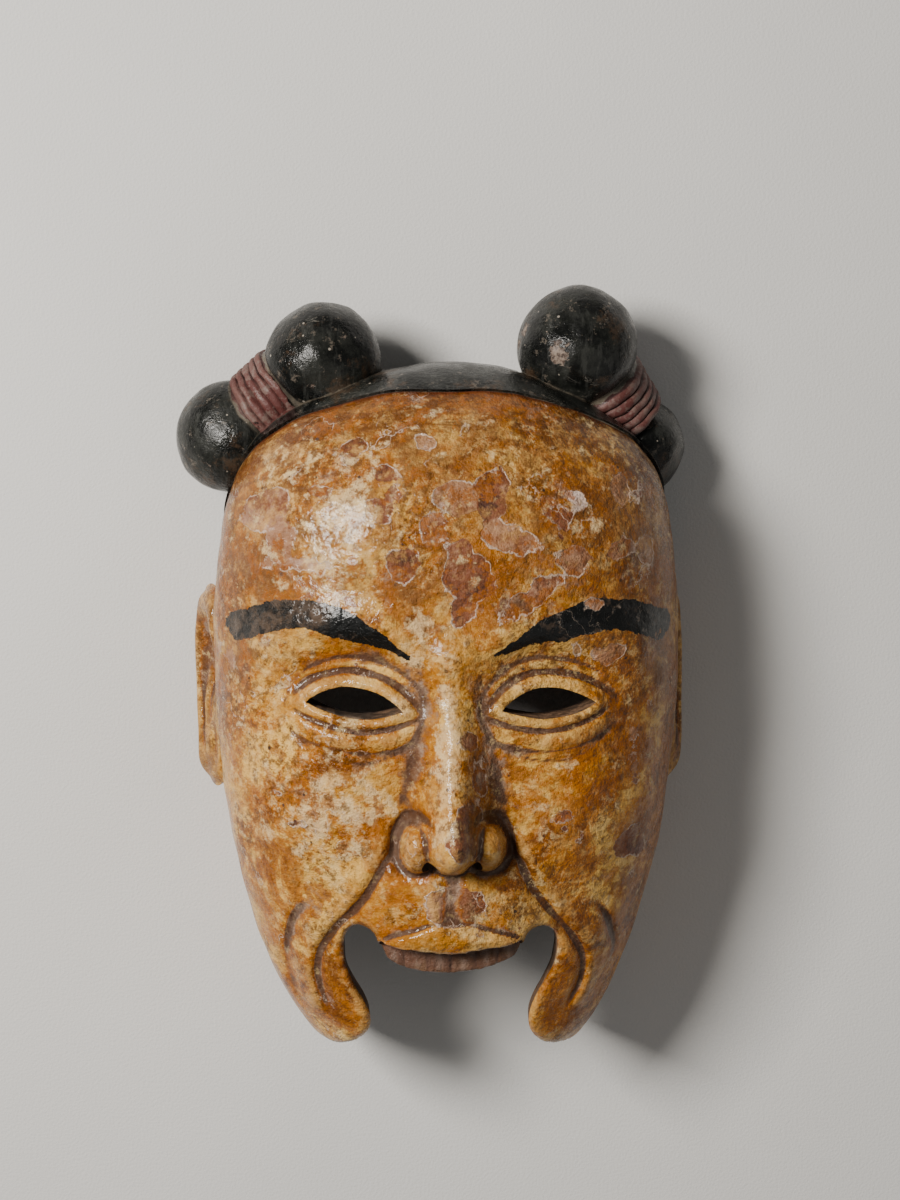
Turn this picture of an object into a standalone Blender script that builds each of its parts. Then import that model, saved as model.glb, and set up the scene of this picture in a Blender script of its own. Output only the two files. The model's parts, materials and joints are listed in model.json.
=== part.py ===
"""A nuo theatre mask carved from one block of wood, lying on its back rim.

Metres, +Z up. The face looks along +Z, the top of the head is towards +Y, and the origin is the
centre of the bounding box at the height of the surface the mask lies on. The carving is worked out
as heights over the plane of the face, from the sizes below.
"""

import math

import bmesh
import bpy
import numpy as np
from mathutils import Matrix, Vector

# Driving sizes of the head
PLACE = (0.0048, 0.0009)
CENTRE_Y = 0.010
HALF_WIDTH = 0.0865
CROWN_RISE = 0.0995
CHIN_DROP = 0.178
FRONT_Z = 0.096
EDGE_Z = 0.036
JAW_POWER = 2.15
TEMPLE_POWER = 2.72
CROWN_POWER = 2.15
PROFILE_POWER = 2.35
BACK_TAPER = 0.003

# Thirds of the face, from the hairline down, and the width of one eye
FACE_THIRD = 0.0857
HAIRLINE_Y = 0.1015
BROW_Y = HAIRLINE_Y - FACE_THIRD
NOSE_BASE_Y = BROW_Y - FACE_THIRD
MOUTH_Y = NOSE_BASE_Y - FACE_THIRD / 3
EYE_WIDTH = HALF_WIDTH * 2 / 5
EYE_X = EYE_WIDTH
EYE_Y = BROW_Y - 0.3 * FACE_THIRD
NASION_Y = EYE_Y + 0.014
NOSE_TIP_Y = NOSE_BASE_Y + 0.0130
NOSE_HALF_WIDTH = EYE_WIDTH / 2

# Eye openings
UPPER_LID_RISE = 0.0072
LOWER_LID_DROP = 0.0040
EYE_TILT = math.radians(4)

# Soft forms of the face: middle, radius across and up, and height, negative in a hollow
FOREHEAD = (0.0, 0.055, 0.080, 0.058, 0.0040)
TEMPLE = (0.077, 0.020, 0.020, 0.030, -0.0012)
SOCKET = (EYE_X - 0.001, EYE_Y + 0.005, 0.029, 0.024, -0.0075)
EYEBALL = (EYE_X, EYE_Y - 0.001, 0.0245, 0.0185, 0.0065)
CHEEKBONE = (0.051, -0.044, 0.036, 0.038, 0.0042)
MUZZLE = (0.0, MOUTH_Y + 0.010, 0.046, 0.038, 0.0055)

# Rims of the lids: height, and the distances from the opening between which they end
UPPER_RIM = (0.0012, 0.0028, 0.0042)
LOWER_RIM = (0.0009, 0.0022, 0.0034)
LID_REACH = (0.016, 0.025)
LID_BLEND = 0.002

# Creases and ridges: depth or height, distance from the line they follow, and half width
UPPER_LID_CREASE = (0.0016, 0.0056, 0.0014)
LOWER_LID_CREASE = (0.0013, 0.0046, 0.0012)
POUCH_CREASE = (0.0009, 0.0120, 0.0016)
WING_CREASE = (0.0024, 0.0092, 0.0019)
PHILTRUM = (0.0014, 0.0, 0.0034)
PHILTRUM_RIDGES = (0.0006, 0.0062, 0.0022)
CHEEK_CREASE = (0.0014, 0.0, 0.0019)
JAW_CREASE = (0.0019, 0.0, 0.0021)
BROW_RIDGE = (0.0022, 0.0, 0.0085)
TOOTH_GROOVE = (0.0005, 0.0, 0.0006)

# Nose: half width and height of the bridge at the root and at the tip, the ball of the tip and
# the wings
BRIDGE_HALF_WIDTH = (0.0108, 0.0196)
BRIDGE_HEIGHT = (0.0030, 0.0205)
BRIDGE_ROOT = 0.020
TIP_ROUND = (0.0092, 0.0110)
TIP_HEIGHT = 0.0052
UNDER_NOSE_ARCH = 0.0042
WING_X = NOSE_HALF_WIDTH - 0.0056
WING_Y = NOSE_BASE_Y + 0.0102
WING_RADII = (0.0070, 0.0096, 0.0130)
WING_RING = 1.30
WING_BLEND = 0.0028
NOSTRIL_RADII = (0.0032, 0.0052, 0.0075)
NOSTRIL_AT = (0.0072, NOSE_BASE_Y + 0.0022, FRONT_Z + 0.0045)
NOSTRIL_PITCH = math.radians(38)
NOSTRIL_TURN = math.radians(18)

# Lip and teeth
LIP_HALF_WIDTH = 0.027
LIP_CURVE = 0.0035
LIP_DIP = (0.0012, 0.0, 0.007)
LIP_THICKNESS = 0.0088
LIP_BOW = (0.0012, 0.006, 0.004)
LIP_FALL = 0.0062
LIP_STEP = 0.0012
LIP_SWELL = (0.0016, 0.0, 0.0045)
TEETH_HALF_WIDTH = 0.0255
TEETH_DROP = 0.0090
TEETH_SET_BACK = 0.0020
TOOTH_WIDTH = 0.0085

# Roll of flesh outside the cheek fold, and the rounding of the edges that are cut through
ROLL_HEIGHT = 0.0021
ROLL_WIDTH = 0.013
LID_EDGE = 0.0010
TEETH_EDGE = 0.0008
JAW_EDGE = 0.0035

# Hair cap: it stands a little proud of the head behind a slanting plane through the hairline
HAIR_SLANT = (0.661, -0.750)
HAIR_OFFSET = 0.0179
HAIR_STEP = 0.0014

# Ears: long plates that lean out from the sides of the head, the left one further
EAR_HALF_WIDTH = 0.0150
EAR_HALF_HEIGHT = 0.0385
EAR_POWER = 2.7
EAR_X = {"left": 0.0848, "right": 0.0806}
EAR_Y = BROW_Y - 0.0265
EAR_Z = 0.0270
EAR_TURN = math.radians(70)
EAR_THICKNESS = 0.0042
EAR_ROOT = 0.0050
EAR_RIM = 0.0026
EAR_RECESS = 0.0040
EAR_FOLD = 0.0014
EAR_LOBE = 0.0010

# Hollow and back
WALL = 0.0120
FRONT_WALL = 0.0140
NOSE_HOLLOW = (0.0, NOSE_BASE_Y + 0.020, 0.024, 0.045, 0.010)
MOUTH_HOLLOW = (0.0, MOUTH_Y + 0.004, 0.050, 0.040, 0.006)
SWEEP_START_Y = -0.055
SWEEP_END_Y = -0.150
SWEEP_RISE = 0.028
SWEEP_POWER = 1.7
SIDE_RINGS = (0.024, 0.012, -0.004)
EYE_CUT = (0.030, 0.150)
JAW_CUT = (-0.020, 0.150)
TRIM_REACH = 0.250
TRIM_DEPTH = 0.080

# Double buns: centre of each ball and its radius
BUNS = {
    "left": (((-0.0458, 0.1113, 0.0340), 0.0215), ((-0.0798, 0.0824, 0.0222), 0.0210)),
    "right": (((0.0484, 0.1163, 0.0345), 0.0226), ((0.0722, 0.0785, 0.0200), 0.0182)),
}
BINDING_RADIUS = 0.0178
BINDING_WIDTH = 0.0165
BINDING_STRANDS = 5
BINDING_GROOVE = 0.0012
STRAND_ROUND = 0.45

# Fineness of the faceted solid
HEAD_GRID = (150, 220)
CAP_GRID = (70, 70)
EAR_GRID = (30, 44)
HOLLOW_GRID = (26, 34)
BUN_STEPS = 28
BALL_STEPS = 25
STRAND_STEPS = 4
CURVE_STEPS = 5
HEAD_KEPT = 0.20
ALL_KEPT = 0.35
SHARP_ANGLE = math.radians(50)


def smoothstep(low, high, value):
    t = np.clip((value - low) / (high - low), 0.0, 1.0)
    return t * t * (3.0 - 2.0 * t)


def smooth_max(a, b, blend):
    mix = np.clip(0.5 + 0.5 * (a - b) / blend, 0.0, 1.0)
    return b + (a - b) * mix + blend * mix * (1.0 - mix)


def hill(x, y, centre_x, centre_y, radius_x, radius_y):
    """A soft round hill: 1 at its centre, 0 from its rim outwards."""
    share = ((x - centre_x) / radius_x) ** 2 + ((y - centre_y) / radius_y) ** 2
    return np.clip(1.0 - share, 0.0, None) ** 2


def soft_form(x, y, form):
    """Height that a soft form adds to the surface."""
    *oval, height = form
    return height * hill(x, y, *oval)


def line_mark(distance, width):
    """The section of a soft groove or ridge: 1 on the line, fading over its width."""
    return np.exp(-((distance / width) ** 2))


def crease(distance, sizes):
    """Depth of a crease, or height of a ridge, that keeps its distance from a line."""
    depth, away, width = sizes
    return depth * line_mark(distance - away, width)


def rim(distance, sizes):
    """Height of a raised rim along a line."""
    height, start, end = sizes
    return height * (1.0 - smoothstep(start, end, distance))


def spline(points, steps):
    """A smooth curve through a few points, as an array of points."""
    points = np.asarray(points, float)
    before = 2 * points[0] - points[1]
    after = 2 * points[-1] - points[-2]
    padded = np.vstack([before, points, after])
    t = np.linspace(0.0, 1.0, steps, endpoint=False)[:, None]
    found = []
    for a, b, c, d in zip(padded, padded[1:], padded[2:], padded[3:]):
        found.append(
            0.5 * (2 * b + (c - a) * t + (2 * a - 5 * b + 4 * c - d) * t**2
                   + (3 * b - a - 3 * c + d) * t**3)
        )
    found.append(points[-1:])
    return np.vstack(found)


def distance_to_line(x, y, line):
    """Distance to a line of points, the share of the line passed at the nearest point, and the
    side of it: 1 to the left of the line, -1 to its right."""
    nearest = np.full(x.shape, np.inf)
    along = np.zeros(x.shape)
    side = np.ones(x.shape)
    lengths = np.linalg.norm(np.diff(line, axis=0), axis=1)
    start = 0.0
    for (ax, ay), (bx, by), length in zip(line, line[1:], lengths):
        dx, dy = bx - ax, by - ay
        t = np.clip(((x - ax) * dx + (y - ay) * dy) / (length * length), 0.0, 1.0)
        distance = np.hypot(x - ax - t * dx, y - ay - t * dy)
        closer = distance < nearest
        nearest = np.where(closer, distance, nearest)
        along = np.where(closer, start + t * length, along)
        side = np.where(closer, np.where(dx * (y - ay) > dy * (x - ax), 1.0, -1.0), side)
        start += length
    return nearest, along / start, side


def inside(x, y, outline):
    """Whether each point lies in a closed outline."""
    found = np.zeros(x.shape, bool)
    for (ax, ay), (bx, by) in zip(outline, np.roll(outline, -1, axis=0)):
        crosses = (ay > y) != (by > y)
        if ay != by:
            found ^= crosses & (x < ax + (y - ay) * (bx - ax) / (by - ay))
    return found


def outside_distance(x, y, outline):
    """Distance from a closed outline, negative inside it."""
    closed = np.vstack([outline, outline[:1]])
    distance, _, _ = distance_to_line(x, y, closed)
    return np.where(inside(x, y, outline), -distance, distance)


def outline_power(across, up):
    """The exponent of the head's outline: even round the jaw, squarer at the temples, round at
    the crown."""
    slope = up / np.maximum(np.hypot(across, up), 1e-9)
    power = JAW_POWER + (TEMPLE_POWER - JAW_POWER) * smoothstep(0.0, 0.50, slope)
    return power + (CROWN_POWER - TEMPLE_POWER) * smoothstep(0.50, 1.00, slope)


def dome(x, y, inset=0.0, front_inset=0.0):
    """Height of the plain head shape over the rim plane, or of the hollow inside it."""
    rise = np.where(y > CENTRE_Y, CROWN_RISE, CHIN_DROP) - inset
    across = x / (HALF_WIDTH - inset)
    up = (y - CENTRE_Y) / rise
    power = outline_power(across, up)
    reach = np.clip((np.abs(across) ** power + np.abs(up) ** power) ** (1.0 / power), 0.0, 1.0)
    fall = (1.0 - reach**PROFILE_POWER) ** (1.0 / PROFILE_POWER)
    return EDGE_Z + (FRONT_Z - front_inset - EDGE_Z) * fall


def eye_distances(x, y):
    """Distances from the upper and the lower lid's edge, negative on the opening's side, and the
    place along the eye."""
    across, up = np.abs(x) - EYE_X, y - EYE_Y
    turned_x = across * math.cos(EYE_TILT) + up * math.sin(EYE_TILT)
    turned_y = up * math.cos(EYE_TILT) - across * math.sin(EYE_TILT)
    half = EYE_WIDTH / 2
    upper_radius = (half**2 + UPPER_LID_RISE**2) / (2 * UPPER_LID_RISE)
    lower_radius = (half**2 + LOWER_LID_DROP**2) / (2 * LOWER_LID_DROP)
    upper = np.hypot(turned_x, turned_y + upper_radius - UPPER_LID_RISE) - upper_radius
    lower = np.hypot(turned_x, turned_y - lower_radius + LOWER_LID_DROP) - lower_radius
    return upper, lower, turned_x


def lip_line(x):
    """Lower edge of the upper lip."""
    return MOUTH_Y + LIP_CURVE * (x / LIP_HALF_WIDTH) ** 2 - crease(x, LIP_DIP)


def teeth_line(x):
    """Lower edge of the upper teeth."""
    return MOUTH_Y - TEETH_DROP * np.sqrt(np.clip(1.0 - (x / TEETH_HALF_WIDTH) ** 2, 0.0, 1.0))


def jaw_gap():
    """Outline of the gap that the missing jaw leaves, with the slots at the mouth's corners."""
    teeth_x = np.linspace(0.0, 0.0235, 2 * CURVE_STEPS - 1)
    teeth = np.column_stack([teeth_x, teeth_line(teeth_x)])
    lobe = spline(
        [
            (0.0262, -0.0965), (0.0285, -0.0925), (0.0330, -0.0905), (0.0372, -0.0930),
            (0.0388, -0.0985), (0.0378, -0.1065), (0.0345, -0.1140), (0.0308, -0.1205),
            (0.0290, -0.1265), (0.0300, -0.1330), (0.0345, -0.1382), (0.0415, -0.1405),
            (0.0500, -0.1400), (0.0580, -0.1375), (0.0670, -0.1325), (0.0800, -0.1260),
        ],
        CURVE_STEPS,
    )
    right = np.vstack([teeth, lobe, [(0.110, -0.126), (0.110, -0.200)]])
    left = right[::-1] * (-1.0, 1.0)
    return np.vstack([right, left[:-1]])


JAW_GAP = jaw_gap()
BROW_LINE = spline([(-0.008, 0.0100), (0.0, 0.0085), (0.008, 0.0100), (0.024, 0.0165),
                    (0.046, 0.0195), (0.066, 0.0120)], 8)
CHEEK_FOLD = spline([(0.018, -0.055), (0.0235, -0.065), (0.0310, -0.078), (0.0400, -0.090),
                     (0.0475, -0.102), (0.0475, -0.114), (0.0420, -0.127)], 6)
JAW_FOLD = spline([(0.0500, -0.080), (0.0570, -0.090), (0.0600, -0.103), (0.0575, -0.116),
                   (0.0510, -0.129)], 6)


def carve_sockets(x, y, z):
    side = np.abs(x)
    *ball, height = EYEBALL
    return z + soft_form(side, y, SOCKET) + height * np.sqrt(hill(side, y, *ball))


def carve_lids(x, y, z):
    upper, lower, along = eye_distances(x, y)
    opening = np.maximum(upper, lower)
    near = 1.0 - smoothstep(*LID_REACH, np.abs(along))
    above = near * smoothstep(-LID_BLEND, LID_BLEND, upper - lower)
    below = near - above
    z = z + above * (rim(opening, UPPER_RIM) - crease(opening, UPPER_LID_CREASE))
    z = z + below * (rim(opening, LOWER_RIM) - crease(opening, LOWER_LID_CREASE))
    z = z - below * crease(opening, POUCH_CREASE)
    return round_edge(z, opening, LID_EDGE)


def round_edge(z, distance, radius):
    """Lets a surface fall away in a quarter round before an edge that is cut through."""
    into = np.clip(radius - distance, 0.0, radius)
    return z - radius + np.sqrt(radius**2 - into**2)


def carve_nose(x, y, z):
    side = np.abs(x)
    down = smoothstep(NASION_Y, NOSE_TIP_Y, y)
    base = NOSE_BASE_Y + UNDER_NOSE_ARCH * smoothstep(0.001, 0.011, side)
    under = np.clip((NOSE_TIP_Y - y) / (NOSE_TIP_Y - base), 0.0, 1.0)
    fade = (1.0 - under**2.4) ** 0.65
    half = np.interp(down, (0.0, 1.0), BRIDGE_HALF_WIDTH)
    height = np.interp(down, (0.0, 1.0), BRIDGE_HEIGHT) * fade
    height = height * (1.0 - smoothstep(NASION_Y, NASION_Y + BRIDGE_ROOT, y))
    z = z + height * (1.0 - smoothstep(0.0, half, side))
    tip = line_mark(x, TIP_ROUND[0]) * line_mark(y - NOSE_TIP_Y, TIP_ROUND[1])
    z = z + TIP_HEIGHT * fade * tip
    ring = np.hypot(side - WING_X, (y - WING_Y) / WING_RING)
    outer = smoothstep(0.004, 0.010, side) * smoothstep(NOSE_BASE_Y - 0.004, NOSE_BASE_Y + 0.006, y)
    z = z - crease(ring, WING_CREASE) * outer
    wing = ball_height(side, y, (WING_X, WING_Y), dome(x * 0.0, y), WING_RADII)
    return smooth_max(z, wing, WING_BLEND)


def ball_height(x, y, centre, centre_z, radii):
    """Height of the front of an ellipsoid, falling steeply away beyond its outline."""
    share = ((x - centre[0]) / radii[0]) ** 2 + ((y - centre[1]) / radii[1]) ** 2
    beyond = np.clip(np.sqrt(share) - 1.0, 0.0, None)
    return centre_z + radii[2] * np.sqrt(np.clip(1.0 - share, 0.0, 1.0)) - 0.05 * beyond


def carve_mouth(x, y, z):
    side = np.abs(x)
    z = z + soft_form(x, y, MUZZLE)
    under_nose = smoothstep(MOUTH_Y + 0.009, MOUTH_Y + 0.012, y)
    under_nose = under_nose * smoothstep(NOSE_BASE_Y + 0.002, NOSE_BASE_Y - 0.003, y)
    z = z + under_nose * (crease(side, PHILTRUM_RIDGES) - crease(x, PHILTRUM))
    border = MOUTH_Y + LIP_THICKNESS + crease(side, LIP_BOW) - LIP_FALL * (x / LIP_HALF_WIDTH) ** 2
    lip = 1.0 - smoothstep(LIP_HALF_WIDTH - 0.004, LIP_HALF_WIDTH + 0.001, side)
    lip = lip * (1.0 - smoothstep(-0.0006, 0.0010, y - border))
    middle = (border + lip_line(x)) / 2
    z = z + lip * (LIP_STEP + crease(y - middle, LIP_SWELL))
    below = 1.0 - smoothstep(-0.0007, 0.0007, y - lip_line(x))
    below = below * (1.0 - smoothstep(TEETH_HALF_WIDTH, TEETH_HALF_WIDTH + 0.0007, side))
    tooth = np.mod(side / TOOTH_WIDTH, 1.0)
    gap = np.minimum(tooth, 1.0 - tooth) * TOOTH_WIDTH
    teeth = dome(x, np.full(y.shape, MOUTH_Y)) - TEETH_SET_BACK - crease(gap, TOOTH_GROOVE)
    return z * (1.0 - below) + teeth * below


def carve_cheeks(x, y, z):
    side = np.abs(x)
    z = z + soft_form(side, y, CHEEKBONE)
    distance, along, left = distance_to_line(side, y, CHEEK_FOLD)
    outward = distance * left
    fade = smoothstep(0.0, 0.14, along) * (1.0 - smoothstep(0.90, 1.0, along))
    roll = smoothstep(-0.0015, 0.0045, outward) * line_mark(np.maximum(outward, 0.0), ROLL_WIDTH)
    z = z + fade * (ROLL_HEIGHT * roll - crease(distance, CHEEK_CREASE))
    distance, along, _ = distance_to_line(side, y, JAW_FOLD)
    fade = smoothstep(0.0, 0.25, along) * (1.0 - smoothstep(0.85, 1.0, along))
    return z - fade * crease(distance, JAW_CREASE)


def carve_brow(x, y, z):
    side = np.abs(x)
    distance, _, _ = distance_to_line(side, y, BROW_LINE)
    return z + soft_form(x, y, FOREHEAD) + crease(distance, BROW_RIDGE) + soft_form(side, y, TEMPLE)


def face_height(x, y):
    """Height of the carved face at each point, measured from the rim plane."""
    z = dome(x, y)
    z = carve_brow(x, y, z)
    z = carve_sockets(x, y, z)
    z = carve_cheeks(x, y, z)
    z = carve_mouth(x, y, z)
    z = carve_nose(x, y, z)
    z = carve_lids(x, y, z)
    radius = TEETH_EDGE + (JAW_EDGE - TEETH_EDGE) * smoothstep(0.0235, 0.0300, np.abs(x))
    return round_edge(z, outside_distance(x, y, JAW_GAP), radius)


def crowded(t, centre, width, gain):
    """Moves evenly spaced values between -1 and 1 so that they crowd round a centre."""
    table = np.linspace(-1.0, 1.0, 2001)
    density = 1.0 + gain * np.exp(-(((table - centre) / width) ** 4))
    share = np.cumsum(density)
    share = (share - share[0]) / (share[-1] - share[0]) * 2.0 - 1.0
    return np.interp(t, share, table)


def square_to_oval(u, v, power=None):
    """Turns a square grid into one with an even oval outline, from -1 to 1 both ways."""
    across = u * np.sqrt(1.0 - v * v / 2.0)
    up = v * np.sqrt(1.0 - u * u / 2.0)
    if power is None:
        power = outline_power(across, up)
    norm = (np.abs(across) ** power + np.abs(up) ** power) ** (1.0 / power)
    radius = np.hypot(across, up)
    return across / np.maximum(norm, 1e-9), up / np.maximum(norm, 1e-9), radius


def oval_points(u, v, grow=0.0):
    """Spreads a square grid over the oval outline of the head, closest where it falls away."""
    across, up, radius = square_to_oval(u, v)
    reach = 0.5 * radius + 0.5 * np.sin(np.clip(radius, 0.0, 1.0) * math.pi / 2)
    rise = np.where(up > 0.0, CROWN_RISE, CHIN_DROP) + grow
    return across * reach * (HALF_WIDTH + grow), CENTRE_Y + up * reach * rise


def new_object(name, bm, collection):
    mesh = bpy.data.meshes.new(name)
    bm.to_mesh(mesh)
    bm.free()
    obj = bpy.data.objects.new(name, mesh)
    collection.objects.link(obj)
    return obj


def read_points(mesh):
    points = np.empty(len(mesh.vertices) * 3)
    mesh.vertices.foreach_get("co", points)
    return points.reshape(-1, 3)


def write_points(mesh, points):
    mesh.vertices.foreach_set("co", np.asarray(points, float).ravel())
    mesh.update()


def close_back(obj, depths, taper):
    """Extrudes the border of a shaped sheet straight back, ring by ring, and closes it."""
    bm = bmesh.new()
    bm.from_mesh(obj.data)
    ring = [edge for edge in bm.edges if edge.is_boundary]
    for depth in depths:
        made = bmesh.ops.extrude_edge_only(bm, edges=ring)["geom"]
        verts = [item for item in made if isinstance(item, bmesh.types.BMVert)]
        for vert in verts:
            vert.co.z = depth
            reach = math.hypot(vert.co.x, vert.co.y - CENTRE_Y)
            inward = taper / (len(depths) * max(reach, 1e-6))
            vert.co.x -= vert.co.x * inward
            vert.co.y -= (vert.co.y - CENTRE_Y) * inward
        ring = [item for item in made if isinstance(item, bmesh.types.BMEdge)]
        ring = [edge for edge in ring if edge.is_boundary]
    bmesh.ops.contextual_create(bm, geom=ring)
    bmesh.ops.recalc_face_normals(bm, faces=bm.faces[:])
    bm.to_mesh(obj.data)
    bm.free()


def shaped_grid(name, columns, rows, collection):
    bm = bmesh.new()
    bmesh.ops.create_grid(bm, x_segments=columns, y_segments=rows, size=1.0)
    return new_object(name, bm, collection)


def carved_head(collection):
    """The solid head before it is hollowed: carved front, side walls and a flat back."""
    head = shaped_grid("mask", *HEAD_GRID, collection)
    points = read_points(head.data)
    across = crowded(points[:, 0], 0.0, 0.60, 0.9)
    up = crowded(points[:, 1], -0.25, 0.50, 1.2)
    x, y = oval_points(across, up)
    write_points(head.data, np.column_stack([x, y, face_height(x, y)]))
    close_back(head, SIDE_RINGS, BACK_TAPER)
    return head


def hair_cap(collection):
    """The cap of hair, a slightly larger head shape cut off along the hairline."""
    cap = shaped_grid("hair_cap", *CAP_GRID, collection)
    points = read_points(cap.data)
    x, y = oval_points(points[:, 0], points[:, 1], HAIR_STEP)
    write_points(cap.data, np.column_stack([x, y, dome(x, y, -HAIR_STEP, -HAIR_STEP)]))
    close_back(cap, (0.018, -0.006), BACK_TAPER)
    bm = bmesh.new()
    bm.from_mesh(cap.data)
    slant = Vector((0.0, *HAIR_SLANT)).normalized()
    made = bmesh.ops.bisect_plane(bm, geom=bm.verts[:] + bm.edges[:] + bm.faces[:],
                                  plane_co=slant * HAIR_OFFSET, plane_no=slant, clear_inner=True)
    rim = [item for item in made["geom_cut"] if isinstance(item, bmesh.types.BMEdge)]
    bmesh.ops.contextual_create(bm, geom=rim)
    bmesh.ops.recalc_face_normals(bm, faces=bm.faces[:])
    bm.to_mesh(cap.data)
    bm.free()
    return cap


def ear_height(u, v):
    """Relief of an ear over its plate, from u and v across and up it, each from -1 to 1."""
    reach = (np.abs(u) ** EAR_POWER + np.abs(v) ** EAR_POWER) ** (1.0 / EAR_POWER)
    edge = line_mark(reach - 0.80, 0.17) * smoothstep(-0.75, -0.10, u + 0.9 * v)
    recess = hill(u, v, 0.05, 0.28, 0.62, 0.52)
    fold = line_mark(np.hypot(u + 0.15, (v + 0.05) / 1.1) - 0.42, 0.15)
    fold = fold * smoothstep(0.1, -0.3, v - u)
    lobe = hill(u, v, 0.0, -0.70, 0.70, 0.45)
    relief = EAR_RIM * edge - EAR_RECESS * recess + EAR_FOLD * fold + EAR_LOBE * lobe
    return EAR_THICKNESS + relief


def ear(side, collection):
    """One ear as a carved plate that leans out from the side of the head."""
    obj = shaped_grid(f"ear_{side}", *EAR_GRID, collection)
    points = read_points(obj.data)
    across, up, radius = square_to_oval(points[:, 0], points[:, 1], EAR_POWER)
    across, up = across * radius, up * radius
    waist = 1.0 - 0.16 * hill(across * 0.0, up, 0.0, -0.30, 1.0, 0.60) - 0.10 * smoothstep(0, -1, up)
    edge = smoothstep(0.88, 1.0, radius)
    thick = ear_height(across, up) * (1.0 - 0.45 * edge)
    write_points(obj.data, np.column_stack(
        [across * waist * EAR_HALF_WIDTH, up * EAR_HALF_HEIGHT, thick]))
    bm = bmesh.new()
    bm.from_mesh(obj.data)
    ring = [item for item in bm.edges if item.is_boundary]
    made = bmesh.ops.extrude_edge_only(bm, edges=ring)["geom"]
    for item in made:
        if isinstance(item, bmesh.types.BMVert):
            item.co = (item.co.x * 0.80, item.co.y * 0.90, -EAR_ROOT)
    back = [item for item in made if isinstance(item, bmesh.types.BMEdge) and item.is_boundary]
    bmesh.ops.contextual_create(bm, geom=back)
    placed = Matrix.Translation((EAR_X[side], EAR_Y, EAR_Z)) @ Matrix.Rotation(EAR_TURN, 4, "Y")
    bmesh.ops.transform(bm, matrix=placed, verts=bm.verts[:])
    if side == "left":
        bmesh.ops.scale(bm, vec=(-1.0, 1.0, 1.0), verts=bm.verts[:])
    bmesh.ops.recalc_face_normals(bm, faces=bm.faces[:])
    bm.to_mesh(obj.data)
    bm.free()
    return obj


def bun_profile(inner_radius, outer_radius, span):
    """Half outline of a double bun along its axis, from the outer ball to the inner one."""
    half = BINDING_WIDTH / 2
    middle = span * outer_radius / (inner_radius + outer_radius)
    points = []
    for angle in np.linspace(math.pi, 0.0, BALL_STEPS):
        along, radius = outer_radius * math.cos(angle), outer_radius * math.sin(angle)
        if along < middle - half:
            points.append((radius, along))
    for along in np.linspace(-half, half, BINDING_STRANDS * STRAND_STEPS + 1):
        strand = abs(math.sin(math.pi * BINDING_STRANDS * (along + half) / BINDING_WIDTH))
        dent = BINDING_GROOVE * (1.0 - strand**STRAND_ROUND)
        points.append((BINDING_RADIUS - dent, middle + along))
    for angle in np.linspace(math.pi, 0.0, BALL_STEPS):
        along, radius = span + inner_radius * math.cos(angle), inner_radius * math.sin(angle)
        if along > middle + half + BINDING_GROOVE:
            points.append((radius, along))
    return points


def double_bun(side, collection):
    """Two balls of hair bound together by cords, turned about the axis through both."""
    (inner, inner_radius), (outer, outer_radius) = BUNS[side]
    axis = Vector(inner) - Vector(outer)
    profile = bun_profile(inner_radius, outer_radius, axis.length)
    bm = bmesh.new()
    verts = [bm.verts.new((max(radius, 0.0), 0.0, along)) for radius, along in reversed(profile)]
    for a, b in zip(verts, verts[1:]):
        bm.edges.new((a, b))
    obj = new_object(f"bun_{side}", bm, collection)
    screw = obj.modifiers.new("turned", "SCREW")
    screw.steps = BUN_STEPS
    screw.render_steps = BUN_STEPS
    screw.use_merge_vertices = True
    screw.merge_threshold = 0.00005
    obj.rotation_mode = "QUATERNION"
    obj.rotation_quaternion = axis.to_track_quat("Z", "Y")
    obj.location = outer
    return obj


def prism(name, outline, low, high, collection):
    """A straight prism over a closed outline in the plane of the face."""
    curve = bpy.data.curves.new(name, "CURVE")
    curve.dimensions = "2D"
    curve.fill_mode = "BOTH"
    curve.extrude = (high - low) / 2
    line = curve.splines.new("POLY")
    line.points.add(len(outline) - 1)
    for point, (x, y) in zip(line.points, outline):
        point.co = (x, y, 0.0, 1.0)
    line.use_cyclic_u = True
    drawn = bpy.data.objects.new(name + "_curve", curve)
    collection.objects.link(drawn)
    drawn.location.z = (low + high) / 2
    bpy.context.view_layer.update()
    graph = bpy.context.evaluated_depsgraph_get()
    mesh = bpy.data.meshes.new_from_object(drawn.evaluated_get(graph))
    bm = bmesh.new()
    bm.from_mesh(mesh)
    bmesh.ops.remove_doubles(bm, verts=bm.verts[:], dist=0.000001)
    bmesh.ops.recalc_face_normals(bm, faces=bm.faces[:])
    bm.to_mesh(mesh)
    bm.free()
    obj = bpy.data.objects.new(name, mesh)
    obj.matrix_world = drawn.matrix_world
    collection.objects.link(obj)
    bpy.data.objects.remove(drawn)
    return obj


def eye_outline(side):
    """The almond of one eye opening, from its outer corner along the lower lid and back."""
    way = -1 if side == "left" else 1
    half = EYE_WIDTH / 2
    outline = []
    for rise, sign in ((LOWER_LID_DROP, -1.0), (UPPER_LID_RISE, 1.0)):
        radius = (half**2 + rise**2) / (2 * rise)
        spread = math.asin(half / radius)
        for share in np.linspace(sign * -1.0, sign, 3 * CURVE_STEPS)[:-1]:
            angle = share * spread * -1.0
            outline.append((radius * math.sin(angle),
                            sign * (radius * math.cos(angle) - radius + rise)))
    turned = []
    for x, y in outline:
        across = x * math.cos(EYE_TILT) - y * math.sin(EYE_TILT)
        up = x * math.sin(EYE_TILT) + y * math.cos(EYE_TILT)
        turned.append((way * (EYE_X + across), EYE_Y + up))
    return turned


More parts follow.
